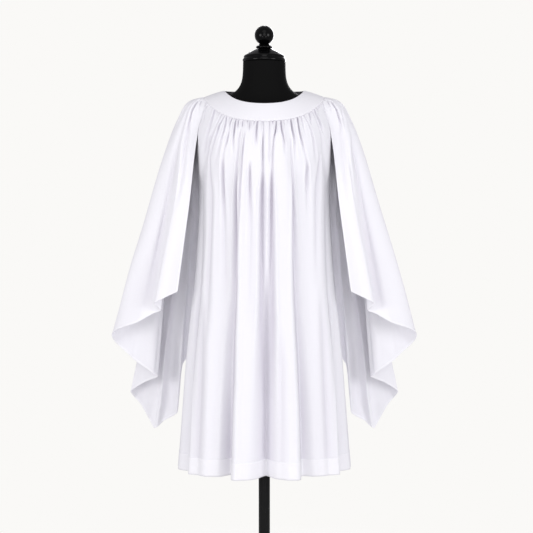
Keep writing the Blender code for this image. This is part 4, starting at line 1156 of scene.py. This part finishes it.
@dataclass(frozen=True)
class SleeveShape:
    """The hanging sleeve's surface at -X."""

    centre_x: float = 0.180
    cap: tuple = (0.031, 0.059, 1.4265)        # reach out, half-depth and top height of the cap ring
    cap_sags: tuple = (1.397, 1.392)           # heights of its front and rear ends
    cap_tuck: float = 0.012                    # how far the cap's ends are drawn in to the body
    shoulder: tuple = (0.062, 0.070, 1.378)    # the same for the ring at the split
    shoulder_sags: tuple = (1.334, 1.262)
    bow: float = 0.005                         # how far the long folds bow out at the elbow
    straightness: tuple = (0.15, 0.6)          # of the hem between its folds: in front, and its rise behind
    knots: tuple = (0.0, 0.10, 0.22, 0.58, 1.0)   # yoke, cap, shoulder, elbow and hem, down the cloth
    puckers: int = 22
    pucker_depth: float = 0.0018
    pucker_width: float = 0.006
    pucker_power: float = 1.8
    shortest_pucker: float = 0.015             # shares of the way down
    pucker_spread: float = 0.04
    puff: float = 0.0022
    puff_reach: float = 0.2                    # share of the way down that the shoulder swells
    rise: tuple = (0.0004, 0.0008)
    rise_reach: float = 0.006
    flat_edge: float = 0.02
    armhole_gap: float = 0.0022                # how much wider the seam is at the armhole's lower end
    fit_reach: float = 0.35                    # share of the way down over which the fit to the body ends
    half_seam: float = 0.2                     # half the body's width there, which makes a gap a share
    rear_tuck: float = 0.009                   # how far the rear edge is drawn in behind the body

    def ring(self, turn: np.ndarray, sizes: tuple, sags: tuple) -> np.ndarray:
        """A ring over the shoulder.

        Args:
            turn: angles round it, from 0 at its front end to pi at its rear end.
            sizes: its reach out, half-depth and top height.
            sags: the heights of its front and rear ends.

        Returns:
            A point for each angle.
        """
        out, depth, top = sizes
        ends = np.where(turn < math.pi / 2, *sags)
        height = top + (ends - top) * np.cos(turn) ** 2
        return np.stack([-(self.centre_x + out * np.sin(turn)), -depth * np.cos(turn), height], axis=-1)

    def points(self, turn_share: np.ndarray, down: np.ndarray) -> np.ndarray:
        """A grid of the sleeve.

        Args:
            turn_share: places round it, from 0 at its front edge to 1 at its rear edge.
            down: places down it, from 0 at the yoke to 1 at the hem.

        Returns:
            A row of points for each place down.
        """
        return self.fit(self.bare(turn_share, down), turn_share, down)

    def bare(self, turn_share: np.ndarray, down: np.ndarray) -> np.ndarray:
        """The same grid before its edges are brought onto the armholes.

        Args:
            turn_share: places round it, from 0 at its front edge to 1 at its rear edge.
            down: places down it, from 0 at the yoke to 1 at the hem.

        Returns:
            A row of points for each place down.
        """
        count = len(SLEEVE_FOLDS)
        lines = np.arange(count) / (count - 1)
        turn = np.radians([fold.turn for fold in SLEEVE_FOLDS])
        hem = np.array([fold[1:] for fold in SLEEVE_FOLDS]) * MM
        yoke = YOKE.points(-(YOKE.panel_degrees + (180 - 2 * YOKE.panel_degrees) * lines), np.ones(count))
        cap = self.ring(turn, self.cap, self.cap_sags)
        cap[:, 0] += self.cap_tuck * np.cos(turn) ** 2
        shoulder = self.ring(turn, self.shoulder, self.shoulder_sags)
        elbow = shoulder + (hem - shoulder) * (self.knots[3] - self.knots[2]) / (1 - self.knots[2])
        elbow[:, 0] -= self.bow * np.sin(turn)
        rings = np.stack([yoke, cap, shoulder, elbow, hem])
        columns = np.moveaxis(smooth_through(lines, np.moveaxis(rings, 1, 0), turn_share), 1, 0)
        straight = np.stack([np.interp(turn_share, lines, hem[:, k]) for k in range(3)], axis=-1)
        crisp = self.straightness[0] + self.straightness[1] * ease((turn_share - 0.35) / 0.05)
        columns[4] += (straight - columns[4]) * crisp[:, None]
        return smooth_through(self.knots, columns, down)

    def fit(self, grid: np.ndarray, turn_share: np.ndarray, down: np.ndarray) -> np.ndarray:
        """Brings the sewn parts of the sleeve's edges onto the armholes of the body.

        Args:
            grid: the bare points.
            turn_share: their places round the sleeve.
            down: their places down it.

        Returns:
            The moved points.
        """
        shoulder = self.knots[2]
        share = np.clip(down / shoulder, 0, 1)
        gap = (SEAM_GAP + self.armhole_gap * share ** 3) / self.half_seam
        sides = ((FRONT, "split", 0, 1 - turn_share), (BACK, "armhole", -1, turn_share))
        for panel, level, edge, near in sides:
            target = panel.base(-1 - gap, panel.level(level) * share)
            sewn = self.bare(turn_share[[edge]], share * shoulder)[:, 0]
            move = (target - sewn) * (1 - ease((down[:, None] - shoulder) / self.fit_reach))
            grid = grid + move[:, None, :] * ease((near - 0.55) / 0.45)[None, :, None]
        tucked = self.rear_tuck * ease((down - 0.23) / 0.08) * np.exp(-((down - 0.38) / 0.2) ** 2)
        grid[..., 0] += tucked[:, None] * ease((turn_share - 0.88) / 0.12)
        return grid

    def relief(self, turn_share: np.ndarray, down: np.ndarray, troughs: Sequence[Trough],
               salt: float) -> np.ndarray:
        """How far out the puckers, gathers and soft troughs move the cloth.

        Args:
            turn_share: places round the sleeve.
            down: places down it.
            troughs: its gathers and troughs.
            salt: makes this sleeve's puckers its own.

        Returns:
            A grid of distances in metres.
        """
        rows = down[:, None]
        puckers = np.zeros((len(down), len(turn_share)))
        for k in range(self.puckers):
            centre = (k + 0.5 + 0.5 * (hash01(k, 9.0 + salt) - 0.5)) / self.puckers
            length = self.shortest_pucker + self.pucker_spread * hash01(k, 10.0 + salt) ** 2
            fade = 1 - ease((rows / length - 0.3) / 0.7)
            depth = self.pucker_depth * (0.4 + 0.8 * hash01(k, 11.0 + salt))
            across = np.abs(turn_share - centre) / self.pucker_width
            puckers = np.maximum(puckers, depth * fade * np.exp(-across ** self.pucker_power))
        pulled = sum(trough.depth_at(down, turn_share) for trough in troughs)
        fade = 1 - ease(rows / self.puff_reach)
        puff = self.puff * ease(rows / 0.012) * fade
        rise = (self.rise[0] + self.rise[1] * np.clip(rows / self.rise_reach, 0, 1)) * fade
        edges = ease(np.minimum(turn_share, 1 - turn_share) / self.flat_edge)
        return (puff - puckers - pulled) * edges + rise


SLEEVE = SleeveShape()


# ---------------------------------------------------------------- sub-assemblies
@dataclass
class Yoke:
    """The round, doubled yoke with its neckline and its edge stitches."""

    thickness: float = 0.0018
    lift: float = 0.0011
    columns: int = 300
    stitch_shares: tuple = (0.045, 0.965)
    shares: tuple = (0, 0.012, 0.03, 0.06, 0.12, 0.22, 0.35, 0.5, 0.65, 0.8, 0.9, 0.97, 1.01, 1.03)
    roll: tuple = (-0.6, -0.15, *[0] * 10, -0.12, -0.45)   # in thicknesses, at each of the shares
    pucker: float = 0.00045                # how deep the seam's stitches pull it
    pucker_reach: float = 0.2
    girth: float = 0.95
    allowance_reach: tuple = (0.80, 1.12)  # from the neckline at 0, past the seam at 1
    allowance_depth: float = 0.0014
    allowance_fall: float = 0.05           # how steeply it falls past the seam

    def build(self) -> bpy.types.Object:
        """Builds the yoke with its seam allowance and stitches.

        Returns:
            The yoke.
        """
        degrees = np.linspace(0, 360, self.columns + 1)
        roll = np.array(self.roll) * self.thickness
        turn, share = np.meshgrid(degrees, self.shares)
        normals = YOKE.normals(turn, np.clip(share, 0.02, 0.98))
        angle = np.radians(turn)
        near_seam = ease((share - (1 - self.pucker_reach)) / self.pucker_reach)
        pucker = self.pucker * np.sin(angle * 95 + 1.5 * np.sin(angle * 13)) * near_seam
        points = YOKE.points(turn, share) + normals * (self.lift + roll[:, None] + pucker)[..., None]
        points[:, -1] = points[:, 0]
        mesh = sheet_mesh(points, (self.girth, 0.06), normals, closed=True)
        piece = thicken(add_piece("yoke", mesh, DOUBLED_CLOTH, ["yoke"]), self.thickness)
        self.stitches()
        self.allowance()
        return piece

    def allowance(self) -> bpy.types.Object:
        """The seam allowance of the gathers, which lies under the yoke's edge.

        Returns:
            The new piece.
        """
        degrees = np.linspace(0, 360, self.columns + 1)
        turn, share = np.meshgrid(degrees, np.linspace(*self.allowance_reach, 9))
        normals = YOKE.normals(turn, np.clip(share, 0.02, 0.98))
        depth = self.allowance_depth + self.allowance_fall * np.clip(share - 1.0, 0, 1)
        points = YOKE.points(turn, share) - normals * depth[..., None]
        points[:, -1] = points[:, 0]
        mesh = sheet_mesh(points, (self.girth, 0.02), normals, closed=True)
        return thicken(add_piece("yoke_allowance", mesh, SINGLE_CLOTH), ALLOWANCE_THICKNESS)

    def stitches(self) -> bpy.types.Object:
        """The rows of stitches beside the neckline and the seam.

        Returns:
            The new piece.
        """
        bm = bmesh.new()
        degrees = np.linspace(0, 360, 721)
        for share in self.stitch_shares:
            shares = np.full_like(degrees, share)
            normals = YOKE.normals(degrees, shares)
            stitch_row(bm, YOKE.points(degrees, shares) + normals * self.lift, normals)
        return add_piece("yoke_stitches", bm, WHITE_THREAD)


@dataclass
class BodyPanel:
    """The front or the back, with its doubled hem."""

    name: str
    shape: PanelShape
    flat: tuple
    area: float
    sewn_to: str
    columns: int = 460
    rows: int = 104
    thickness: float = 0.0010
    hem_depth: float = 0.047
    hem_proud: float = 0.0007
    allowance_strip: tuple = (0.975, 0.99, 1.01, 1.03, 1.045)   # across, where 1 is the side edge
    allowance_depth: float = 0.0018

    def spread_down(self) -> np.ndarray:
        """Places down the panel, closer together at the gathers."""
        t = np.linspace(0, 1, self.rows + 1)
        return 0.12 * t + 0.88 * t ** 2.2

    def build(self) -> bpy.types.Object:
        """Builds the panel with its hem, stitches and seam allowances.

        Returns:
            The panel.
        """
        cloth = np.linspace(-1, 1, self.columns + 1)
        down = self.spread_down()
        # shade is the painted shade of the creases and gathers, which darkens the cloth's colour there
        points, shade = self.shape.points(cloth, down), self.shape.shade(cloth, down)
        mesh = sheet_mesh(points, self.flat, upright_out(points), shade=shade)
        piece = thicken(add_piece(self.name, mesh, SINGLE_CLOTH, [self.name]), self.thickness)
        extras = [self.hem(cloth), self.stitches(cloth), self.allowance(-1), self.allowance(1)]
        return piece

    def strip(self, cloth: np.ndarray, down: np.ndarray, out: float) -> tuple:
        """A grid of the panel, all moved out by a distance.

        Args:
            cloth: strands of cloth, from -1 to 1 across the flat panel.
            down: places down it, from 0 at the yoke to 1 at the hem.
            out: the distance.

        Returns:
            The points, and their outward unit normals.
        """
        points = self.shape.points(cloth, down)
        normals = facing_out(grid_normals(points), points)
        return points + normals * out, normals

    def hem(self, cloth: np.ndarray) -> bpy.types.Object:
        """The turned-up hem, a second layer with its own upper edge.

        Args:
            cloth: the panel's strands of cloth.

        Returns:
            The new piece.
        """
        top = 1 - self.hem_depth / self.shape.length
        down = np.concatenate([[top, top + 0.0006, top + 0.0018], np.linspace(top + 0.006, 1.0008, 9)])
        points, _ = self.strip(cloth, down, self.hem_proud)
        inward = np.array([0.0008, 0.0002, *[0] * 9, 0.0003])
        points = points - facing_out(grid_normals(points), points) * inward[:, None, None]
        mesh = sheet_mesh(points, (self.flat[0], self.hem_depth), upright_out(points))
        piece = add_piece(self.name + "_hem", mesh, DOUBLED_CLOTH)
        return thicken(piece, self.thickness + 2 * self.hem_proud)

    def allowance(self, side: int) -> bpy.types.Object:
        """The seam allowance that lies under the sleeve's sewn edge.

        Args:
            side: -1 at the viewer's left and 1 at the right.

        Returns:
            The new piece.
        """
        across = side * np.array(self.allowance_strip)[None, :]
        down = np.linspace(0.004, self.shape.level(self.sewn_to), 30)[:, None]
        across, down = np.broadcast_arrays(across, down)
        normals = self.shape.base_normals(across, down)
        points = self.shape.base(across, down) - normals * self.allowance_depth
        name = f"{self.name}_allowance_{'left' if side < 0 else 'right'}"
        mesh = sheet_mesh(points, (0.02, 0.12), normals)
        return thicken(add_piece(name, mesh, SINGLE_CLOTH), ALLOWANCE_THICKNESS)

    def stitches(self, cloth: np.ndarray) -> bpy.types.Object:
        """The row of stitches along the top of the hem.

        Args:
            cloth: the panel's strands of cloth.

        Returns:
            The new piece.
        """
        top = 1 - self.hem_depth / self.shape.length
        points, normals = self.strip(cloth, np.array([top + 0.001, top + 0.003, top + 0.005]), self.hem_proud)
        bm = bmesh.new()
        stitch_row(bm, points[1], normals[1])
        return add_piece(self.name + "_stitches", bm, WHITE_THREAD)


@dataclass
class Sleeve:
    """A hanging sleeve; side is -1 at the viewer's left and 1 at the right."""

    name: str
    side: int
    troughs: tuple
    columns: int = 330
    rows: int = 130
    thickness: float = 0.0010
    hem_width: float = 0.007               # as a share of the way down
    hem_edge: float = 0.92                 # where its inner edge stands full, in hem widths
    stitch_place: float = 0.85             # in hem widths from the hem's lower edge
    hem_thickness: float = 0.0013
    hem_proud: float = 0.00015
    edge_hem_thickness: float = 0.0015
    edge_hem_strip: tuple = (0.0, 0.0012, 0.0035, 0.0058, 0.0065)   # shares round, from the edge
    edge_hem_proud: tuple = (0.0, 0.0003, 0.0004, 0.0003, -0.0003)
    stitch_sink: float = 0.0006            # the stitches lie in the middle of the cloth
    full_shade: tuple = (0.0085, 0.0165)   # depth that gets the full painted shade at the shoulder, and its rise below
    inside_shade: float = -0.4             # share of the painted shade for a fold that shows its inside; negative, so its valleys get a weaker painted shade and its ridges none

    def grid(self, columns: np.ndarray, down: np.ndarray, out: float = 0.0) -> tuple:
        """A grid of the sleeve with its relief.

        Args:
            columns: places round the sleeve.
            down: places down it.
            out: how far the points are moved off its right side.

        Returns:
            The points, and the unit normals of the right side.
        """
        points = SLEEVE.points(columns, down)
        normals = grid_normals(points)
        place = len(down) // 3, len(columns) // 3
        normals = normals * np.sign((normals[place] * upright_out(points[place], -SLEEVE.centre_x)).sum())
        relief = SLEEVE.relief(columns, down, self.troughs, self.side * 2.0)
        points = points + normals * (relief + out)[..., None]
        flip = np.array([-self.side, 1.0, 1.0])
        return points * flip, normals * flip

    def build(self) -> bpy.types.Object:
        """Builds the sleeve with its narrow hems and stitches.

        Returns:
            The sleeve.
        """
        columns = np.linspace(0, 1, self.columns + 1)
        down = np.linspace(0, 1, self.rows + 1) ** 1.25
        points, normals = self.grid(columns, down)
        # Painted shade: the troughs darken the sleeve's colour through its crease attribute.
        full_depth = self.full_shade[0] + self.full_shade[1] * ease((down - 0.16) / 0.14)
        shares = [self.inside_shade if trough.inside else 1 for trough in self.troughs]
        deep = sum(share * trough.depth_at(down, columns) for share, trough in zip(shares, self.troughs))
        mesh = sheet_mesh(points, (0.72, 0.72), normals, shade=ease(deep / full_depth[:, None]))
        # The sleeve takes the lighter copy of the cloth: painted light for its shaded insides.
        piece = thicken(add_piece(self.name, mesh, LIGHTENED_SLEEVE_CLOTH, [self.name]), self.thickness)
        extras = [self.hem(columns), self.stitches(), self.edge_hem("front", 0.0), self.edge_hem("rear", 1.0)]
        return piece

    def hem(self, columns: np.ndarray) -> bpy.types.Object:
        """The narrow double-turned hem along the sleeve's lower edge.

        Args:
            columns: places round the sleeve.

        Returns:
            The new piece.
        """
        top, full = 1 - self.hem_width, 1 - self.hem_width * self.hem_edge
        down = np.concatenate([[top], np.linspace(full, 1.0006, 5)])
        points, normals = self.grid(columns, down, self.hem_proud)
        mesh = sheet_mesh(points, (0.72, 0.008), normals)
        return thicken(add_piece(self.name + "_hem", mesh, TURNED_CLOTH), self.hem_thickness)

    def edge_hem(self, which: str, edge: float) -> bpy.types.Object:
        """The narrow hem down one of the sleeve's open edges.

        Args:
            which: the edge's name.
            edge: its place round the sleeve, 0 at the front or 1 at the rear.

        Returns:
            The new piece.
        """
        columns = np.abs(edge - np.array(self.edge_hem_strip))
        down = np.linspace(SLEEVE.knots[2] - 0.015, 1.0, self.rows)
        points, normals = self.grid(columns, down)
        points = points + normals * np.array(self.edge_hem_proud)[:, None]
        mesh = sheet_mesh(points, (0.006, 0.6), normals)
        return thicken(add_piece(f"{self.name}_{which}_hem", mesh, TURNED_CLOTH), self.edge_hem_thickness)

    def stitches(self) -> bpy.types.Object:
        """The row of stitches that holds the narrow hem, seen from both sides.

        Returns:
            The new piece.
        """
        level = 1 - self.hem_width * self.stitch_place
        rows = np.array([level - 0.002, level, level + 0.002])
        points, normals = self.grid(np.linspace(0, 1, 601), rows, -self.stitch_sink)
        bm = bmesh.new()
        stitch_row(bm, points[1], normals[1], StitchStyle(radius=0.0009, length=0.0022))
        return add_piece(self.name + "_stitches", bm, WHITE_THREAD)


class FormRing(NamedTuple):
    """One level of the dress form's torso."""

    z: float
    half_width: float
    front: float
    back: float


class TurnPoint(NamedTuple):
    """A point of a turned profile."""

    radius: float
    z: float


def turned(name: str, profile: Sequence[TurnPoint], finish: SolidFinish, steps: int,
           sharp_degrees: float = 35.0) -> bpy.types.Object:
    """Spins a profile into a piece that is shown in place of the CAD node of its name.

    Args:
        name: the piece's name.
        profile: its points from the bottom up; ends on the axis close it.
        finish: its finish.
        steps: how many facets go round it.
        sharp_degrees: edges sharper than this are left sharp.

    Returns:
        The new object.
    """
    bm = bmesh.new()
    verts = [bm.verts.new((point.radius, 0.0, point.z)) for point in profile]
    edges = [bm.edges.new(pair) for pair in zip(verts, verts[1:])]
    bmesh.ops.spin(bm, geom=[*verts, *edges], cent=(0, 0, 0), axis=(0, 0, 1), angle=2 * math.pi, steps=steps,
                   use_merge=True, use_duplicate=False)
    bmesh.ops.remove_doubles(bm, verts=bm.verts, dist=1e-6)
    bmesh.ops.recalc_face_normals(bm, faces=bm.faces)
    return add_piece(name, bm, finish, [name], sharp_degrees)


def corners(inner: float, outer: float, low: float, high: float) -> list:
    """The profile of a disc or a ring about the axis, from its inner corner round."""
    return [TurnPoint(inner, low), TurnPoint(outer, low), TurnPoint(outer, high), TurnPoint(inner, high)]


def rounded(points: Sequence[TurnPoint], radius: float, segments: int = 5) -> list:
    """A profile with its inner corners rounded.

    Args:
        points: the profile.
        radius: about the radius of each corner, smaller where its sides are short.
        segments: how many points each corner gets.

    Returns:
        The new profile.
    """
    made = [points[0]]
    for before, corner, after in zip(points, points[1:], points[2:]):
        a, b, c = (np.array(p) for p in (before, corner, after))
        into, out = a - b, c - b
        cut = min(radius, 0.45 * np.linalg.norm(into), 0.45 * np.linalg.norm(out))
        start, end = b + normalised(into) * cut, b + normalised(out) * cut
        for t in np.linspace(0, 1, segments):
            made.append(TurnPoint(*((1 - t) ** 2 * start + 2 * t * (1 - t) * b + t * t * end)))
    made.append(points[-1])
    return made


@dataclass
class DressForm:
    """The limbless form with its turned cap and finial."""

    rings: tuple = (
        FormRing(0.762, 0.120, 0.085, 0.088), FormRing(0.770, 0.150, 0.104, 0.108),
        FormRing(0.790, 0.164, 0.114, 0.120), FormRing(0.880, 0.168, 0.115, 0.124),
        FormRing(0.980, 0.152, 0.108, 0.112), FormRing(1.070, 0.144, 0.106, 0.102),
        FormRing(1.160, 0.158, 0.118, 0.112), FormRing(1.230, 0.168, 0.127, 0.118),
        FormRing(1.290, 0.176, 0.128, 0.120), FormRing(1.340, 0.184, 0.122, 0.117),
        FormRing(1.376, 0.187, 0.112, 0.109), FormRing(1.398, 0.182, 0.096, 0.097),
        FormRing(1.413, 0.170, 0.083, 0.089), FormRing(1.426, 0.148, 0.073, 0.082),
        FormRing(1.438, 0.118, 0.067, 0.076), FormRing(1.449, 0.093, 0.064, 0.071),
        FormRing(1.465, 0.073, 0.063, 0.066), FormRing(1.484, 0.0635, 0.0625, 0.0625),
        FormRing(1.510, 0.0598, 0.0598, 0.0598), FormRing(1.5385, 0.0590, 0.0590, 0.0590),
    )
    sides: int = 120
    levels: int = 110
    ball_radius: float = 0.0268
    ball_z: float = 1.6122
    cap_rounding: float = 0.0022
    cap_profile: tuple = (
        TurnPoint(0.0, 1.5388), TurnPoint(0.0560, 1.5388), TurnPoint(0.0598, 1.5405),
        TurnPoint(0.0604, 1.5440), TurnPoint(0.0590, 1.5478), TurnPoint(0.0572, 1.5488),
        TurnPoint(0.0570, 1.5540), TurnPoint(0.0555, 1.5566), TurnPoint(0.0400, 1.5660),
        TurnPoint(0.0250, 1.5732), TurnPoint(0.0190, 1.5752), TurnPoint(0.0, 1.5752),
    )
    collar_rounding: float = 0.0018
    collar_profile: tuple = (
        TurnPoint(0.0, 1.5755), TurnPoint(0.0175, 1.5755), TurnPoint(0.0228, 1.5768),
        TurnPoint(0.0232, 1.5800), TurnPoint(0.0200, 1.5832), TurnPoint(0.0158, 1.5850),
        TurnPoint(0.0147, 1.5872),
    )

    def torso(self) -> bpy.types.Object:
        """The jersey-covered torso.

        Returns:
            The new piece.
        """
        steps = [math.hypot(above.half_width - below.half_width, above.z - below.z)
                 for below, above in zip(self.rings, self.rings[1:])]
        along = np.concatenate([[0.0], np.cumsum(steps)])
        at = np.linspace(0, along[-1], self.levels + 1)
        table = smooth_through(along, np.array(self.rings), at, level_turns=True)
        angle = np.linspace(0, 2 * math.pi, self.sides + 1)
        depth = np.where(np.sin(angle) < 0, table[:, 2:3], table[:, 3:4])
        points = np.stack([table[:, 1:2] * np.cos(angle), depth * np.sin(angle),
                           np.broadcast_to(table[:, :1], depth.shape)], axis=-1)
        points[:, -1] = points[:, 0]
        bm = sheet_mesh(points, (1.0, 0.8), upright_out(points), closed=True)
        bmesh.ops.holes_fill(bm, edges=[edge for edge in bm.edges if edge.is_boundary], sides=0)
        bmesh.ops.recalc_face_normals(bm, faces=bm.faces)
        return add_piece("form_torso", bm, BLACK_JERSEY, ["form_torso"], sharp_degrees=60)

    def cap(self) -> bpy.types.Object:
        """The lacquered cap on the neck: a rounded bead, a fillet and a low cone."""
        return turned("form_neck_cap", rounded(self.cap_profile, self.cap_rounding), BLACK_LACQUER, 96)

    def finial(self) -> bpy.types.Object:
        """The turned ball finial on its collar.

        Returns:
            The new piece.
        """
        collar = rounded(self.collar_profile, self.collar_rounding)
        low = math.asin((collar[-1].z - self.ball_z) / self.ball_radius)
        ball = [TurnPoint(self.ball_radius * math.cos(t), self.ball_z + self.ball_radius * math.sin(t))
                for t in np.linspace(low, math.pi / 2, 25)[1:]]
        ball[-1] = TurnPoint(0.0, self.ball_z + self.ball_radius)
        return turned("form_finial", [*collar, *ball], BLACK_LACQUER, 72)

    def build(self) -> list:
        """Builds the form's pieces and returns them."""
        return [self.torso(), self.cap(), self.finial()]


@dataclass
class Stand:
    """The pole, its socket and the round base."""

    pole_radius: float = 0.016
    base_radius: float = 0.190
    base_height: float = 0.014
    socket_radius: float = 0.026
    socket_height: float = 0.045
    pole_top: float = 0.7617
    pole_rounding: float = 0.001
    socket_rounding: float = 0.006
    base_rounding: float = 0.004

    def build(self) -> list:
        """Builds the stand.

        Returns:
            The pole, the socket and the base.
        """
        low, high = self.base_height + SEAM_GAP, self.base_height + self.socket_height
        pole = corners(0.0, self.pole_radius, low, self.pole_top)
        socket = corners(self.pole_radius + SEAM_GAP, self.socket_radius, low, high)
        base = corners(0.0, self.base_radius, 0.0, self.base_height)
        return [
            turned("stand_pole", rounded(pole, self.pole_rounding, 3), BLACK_STEEL, 48),
            turned("stand_socket", rounded(socket, self.socket_rounding, 8), BLACK_STEEL, 64),
            turned("stand_base", rounded(base, self.base_rounding, 6), BLACK_STEEL, 128),
        ]


# ---------------------------------------------------------------- studio
def aimed(seer: bpy.types.Object, place: tuple, aim: tuple) -> bpy.types.Object:
    """Puts a light or a camera in its place, turned to its aim.

    Args:
        seer: the light or the camera.
        place: where it stands.
        aim: the point that it looks at.

    Returns:
        The same object.
    """
    seer.location = place
    seer.rotation_euler = (Vector(aim) - Vector(place)).to_track_quat("-Z", "Y").to_euler()
    return seer


@dataclass
class SoftLight:
    """A round soft box."""

    name: str
    place: tuple
    aim: tuple
    size: float
    watts: float
    colour: tuple = (1.0, 1.0, 1.0)

    def build(self) -> bpy.types.Object:
        """Builds the light.

        Returns:
            The new object.
        """
        data = bpy.data.lights.new(self.name, "AREA")
        data.shape = "DISK"
        data.size, data.energy, data.color = self.size, self.watts, self.colour
        return aimed(new_object(self.name, data), self.place, self.aim)


@dataclass
class Studio:
    """The pale floor, the pale surroundings, the soft lights and the camera."""

    backdrop: tuple = (0.956, 0.947, 0.930)
    surround: tuple = (0.972, 0.962, 1.0)
    surround_strength: float = 0.54
    floor_radius: float = 1.0
    eye: tuple = (0.0062, -3.8, 1.2)
    target: tuple = (0.0062, 0.0, 0.969)
    lens: float = 91.66
    lights: tuple = (
        SoftLight("left", (-3.0, -2.7, 1.4), (0, 0, 1.0), 1.8, 49.0, (1.0, 0.995, 0.99)),
        SoftLight("right", (3.0, -2.7, 1.5), (0, 0, 1.0), 1.8, 51.0, (0.99, 0.99, 1.0)),
        SoftLight("front", (0.1, -4.4, 1.9), (0, 0, 1.2), 2.4, 31.0),
        SoftLight("top", (0.0, -2.2, 3.4), (0, 0, 1.2), 2.0, 10.0),
        SoftLight("low left", (-1.3, -3.3, 0.2), (-0.3, 0, 0.7), 1.2, 8.5),
        SoftLight("low right", (1.3, -3.3, 0.2), (0.3, 0, 0.7), 1.2, 9.5),
        SoftLight("back", (0.7, 3.4, 2.0), (0, 0, 1.0), 2.2, 84.0, (0.98, 0.98, 1.0)),
    )

    def floor(self) -> bpy.types.Object:
        """A round pale floor that fades into the surroundings.

        Returns:
            The new object.
        """
        bm = bmesh.new()
        bmesh.ops.create_circle(bm, cap_ends=True, segments=96, radius=self.floor_radius)
        mesh = mesh_from("floor", bm)
        made, kit, shader = new_material("pale_floor", Base_Color=(0.93, 0.925, 0.915, 1.0), Roughness=0.9,
                                         Specular_IOR_Level=0.1)
        place = kit.add("ShaderNodeTexCoord")
        distance = kit.add("ShaderNodeVectorMath", operation="LENGTH")
        kit.link(place.outputs["Object"], distance.inputs[0])
        fade = kit.add("ShaderNodeMapRange", interpolation_type="SMOOTHSTEP",
                       inputs={"From Min": 0.35, "From Max": 0.98, "To Min": 1.0, "To Max": 0.0})
        kit.link(distance.outputs["Value"], fade.inputs["Value"])
        kit.link(fade.outputs["Result"], shader.inputs["Alpha"])
        mesh.materials.append(made)
        return new_object("floor", mesh)

    def surroundings(self) -> None:
        """The backdrop that the camera sees and the soft light that it gives."""
        world = bpy.data.worlds.new("studio")
        bpy.context.scene.world = world
        world.use_nodes = True
        tree = world.node_tree
        tree.nodes.clear()
        kit = NodeKit(tree)
        seen = kit.add("ShaderNodeBackground", inputs={"Color": (*self.backdrop, 1.0), "Strength": 1.0})
        glow = kit.add("ShaderNodeBackground",
                       inputs={"Color": (*self.surround, 1.0), "Strength": self.surround_strength})
        path = kit.add("ShaderNodeLightPath")
        mix = kit.add("ShaderNodeMixShader")
        output = kit.add("ShaderNodeOutputWorld")
        kit.link(path.outputs["Is Camera Ray"], mix.inputs["Fac"])
        kit.link(glow.outputs[0], mix.inputs[1])
        kit.link(seen.outputs[0], mix.inputs[2])
        kit.link(mix.outputs[0], output.inputs["Surface"])

    def camera(self) -> bpy.types.Object:
        """The camera at the garment's front.

        Returns:
            The new object.
        """
        data = bpy.data.cameras.new("camera")
        data.sensor_width = 36.0
        data.lens = self.lens
        camera = aimed(new_object("camera", data), self.eye, self.target)
        bpy.context.scene.camera = camera
        return camera

    def build(self) -> None:
        """Builds the studio."""
        self.floor()
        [light.build() for light in self.lights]
        self.surroundings()
        self.camera()
        bpy.context.scene.view_settings.view_transform = "Standard"


def main() -> None:
    """Builds every sub-assembly."""
    logging.basicConfig(level=logging.INFO, format="%(relativeCreated)d %(message)s")
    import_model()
    Yoke().build()
    BodyPanel("front", FRONT, flat=(1.02, 0.98), area=0.80, sewn_to="split").build()
    BodyPanel("back", BACK, flat=(1.02, 1.02), area=0.80, sewn_to="armhole").build()
    Sleeve("sleeve_left", -1, LEFT_TROUGHS + BACK_TROUGHS).build()
    Sleeve("sleeve_right", 1, RIGHT_TROUGHS + BACK_TROUGHS).build()
    DressForm().build()
    Stand().build()
    Studio().build()
    bpy.context.view_layer.update()


if __name__ == "__main__":
    main()
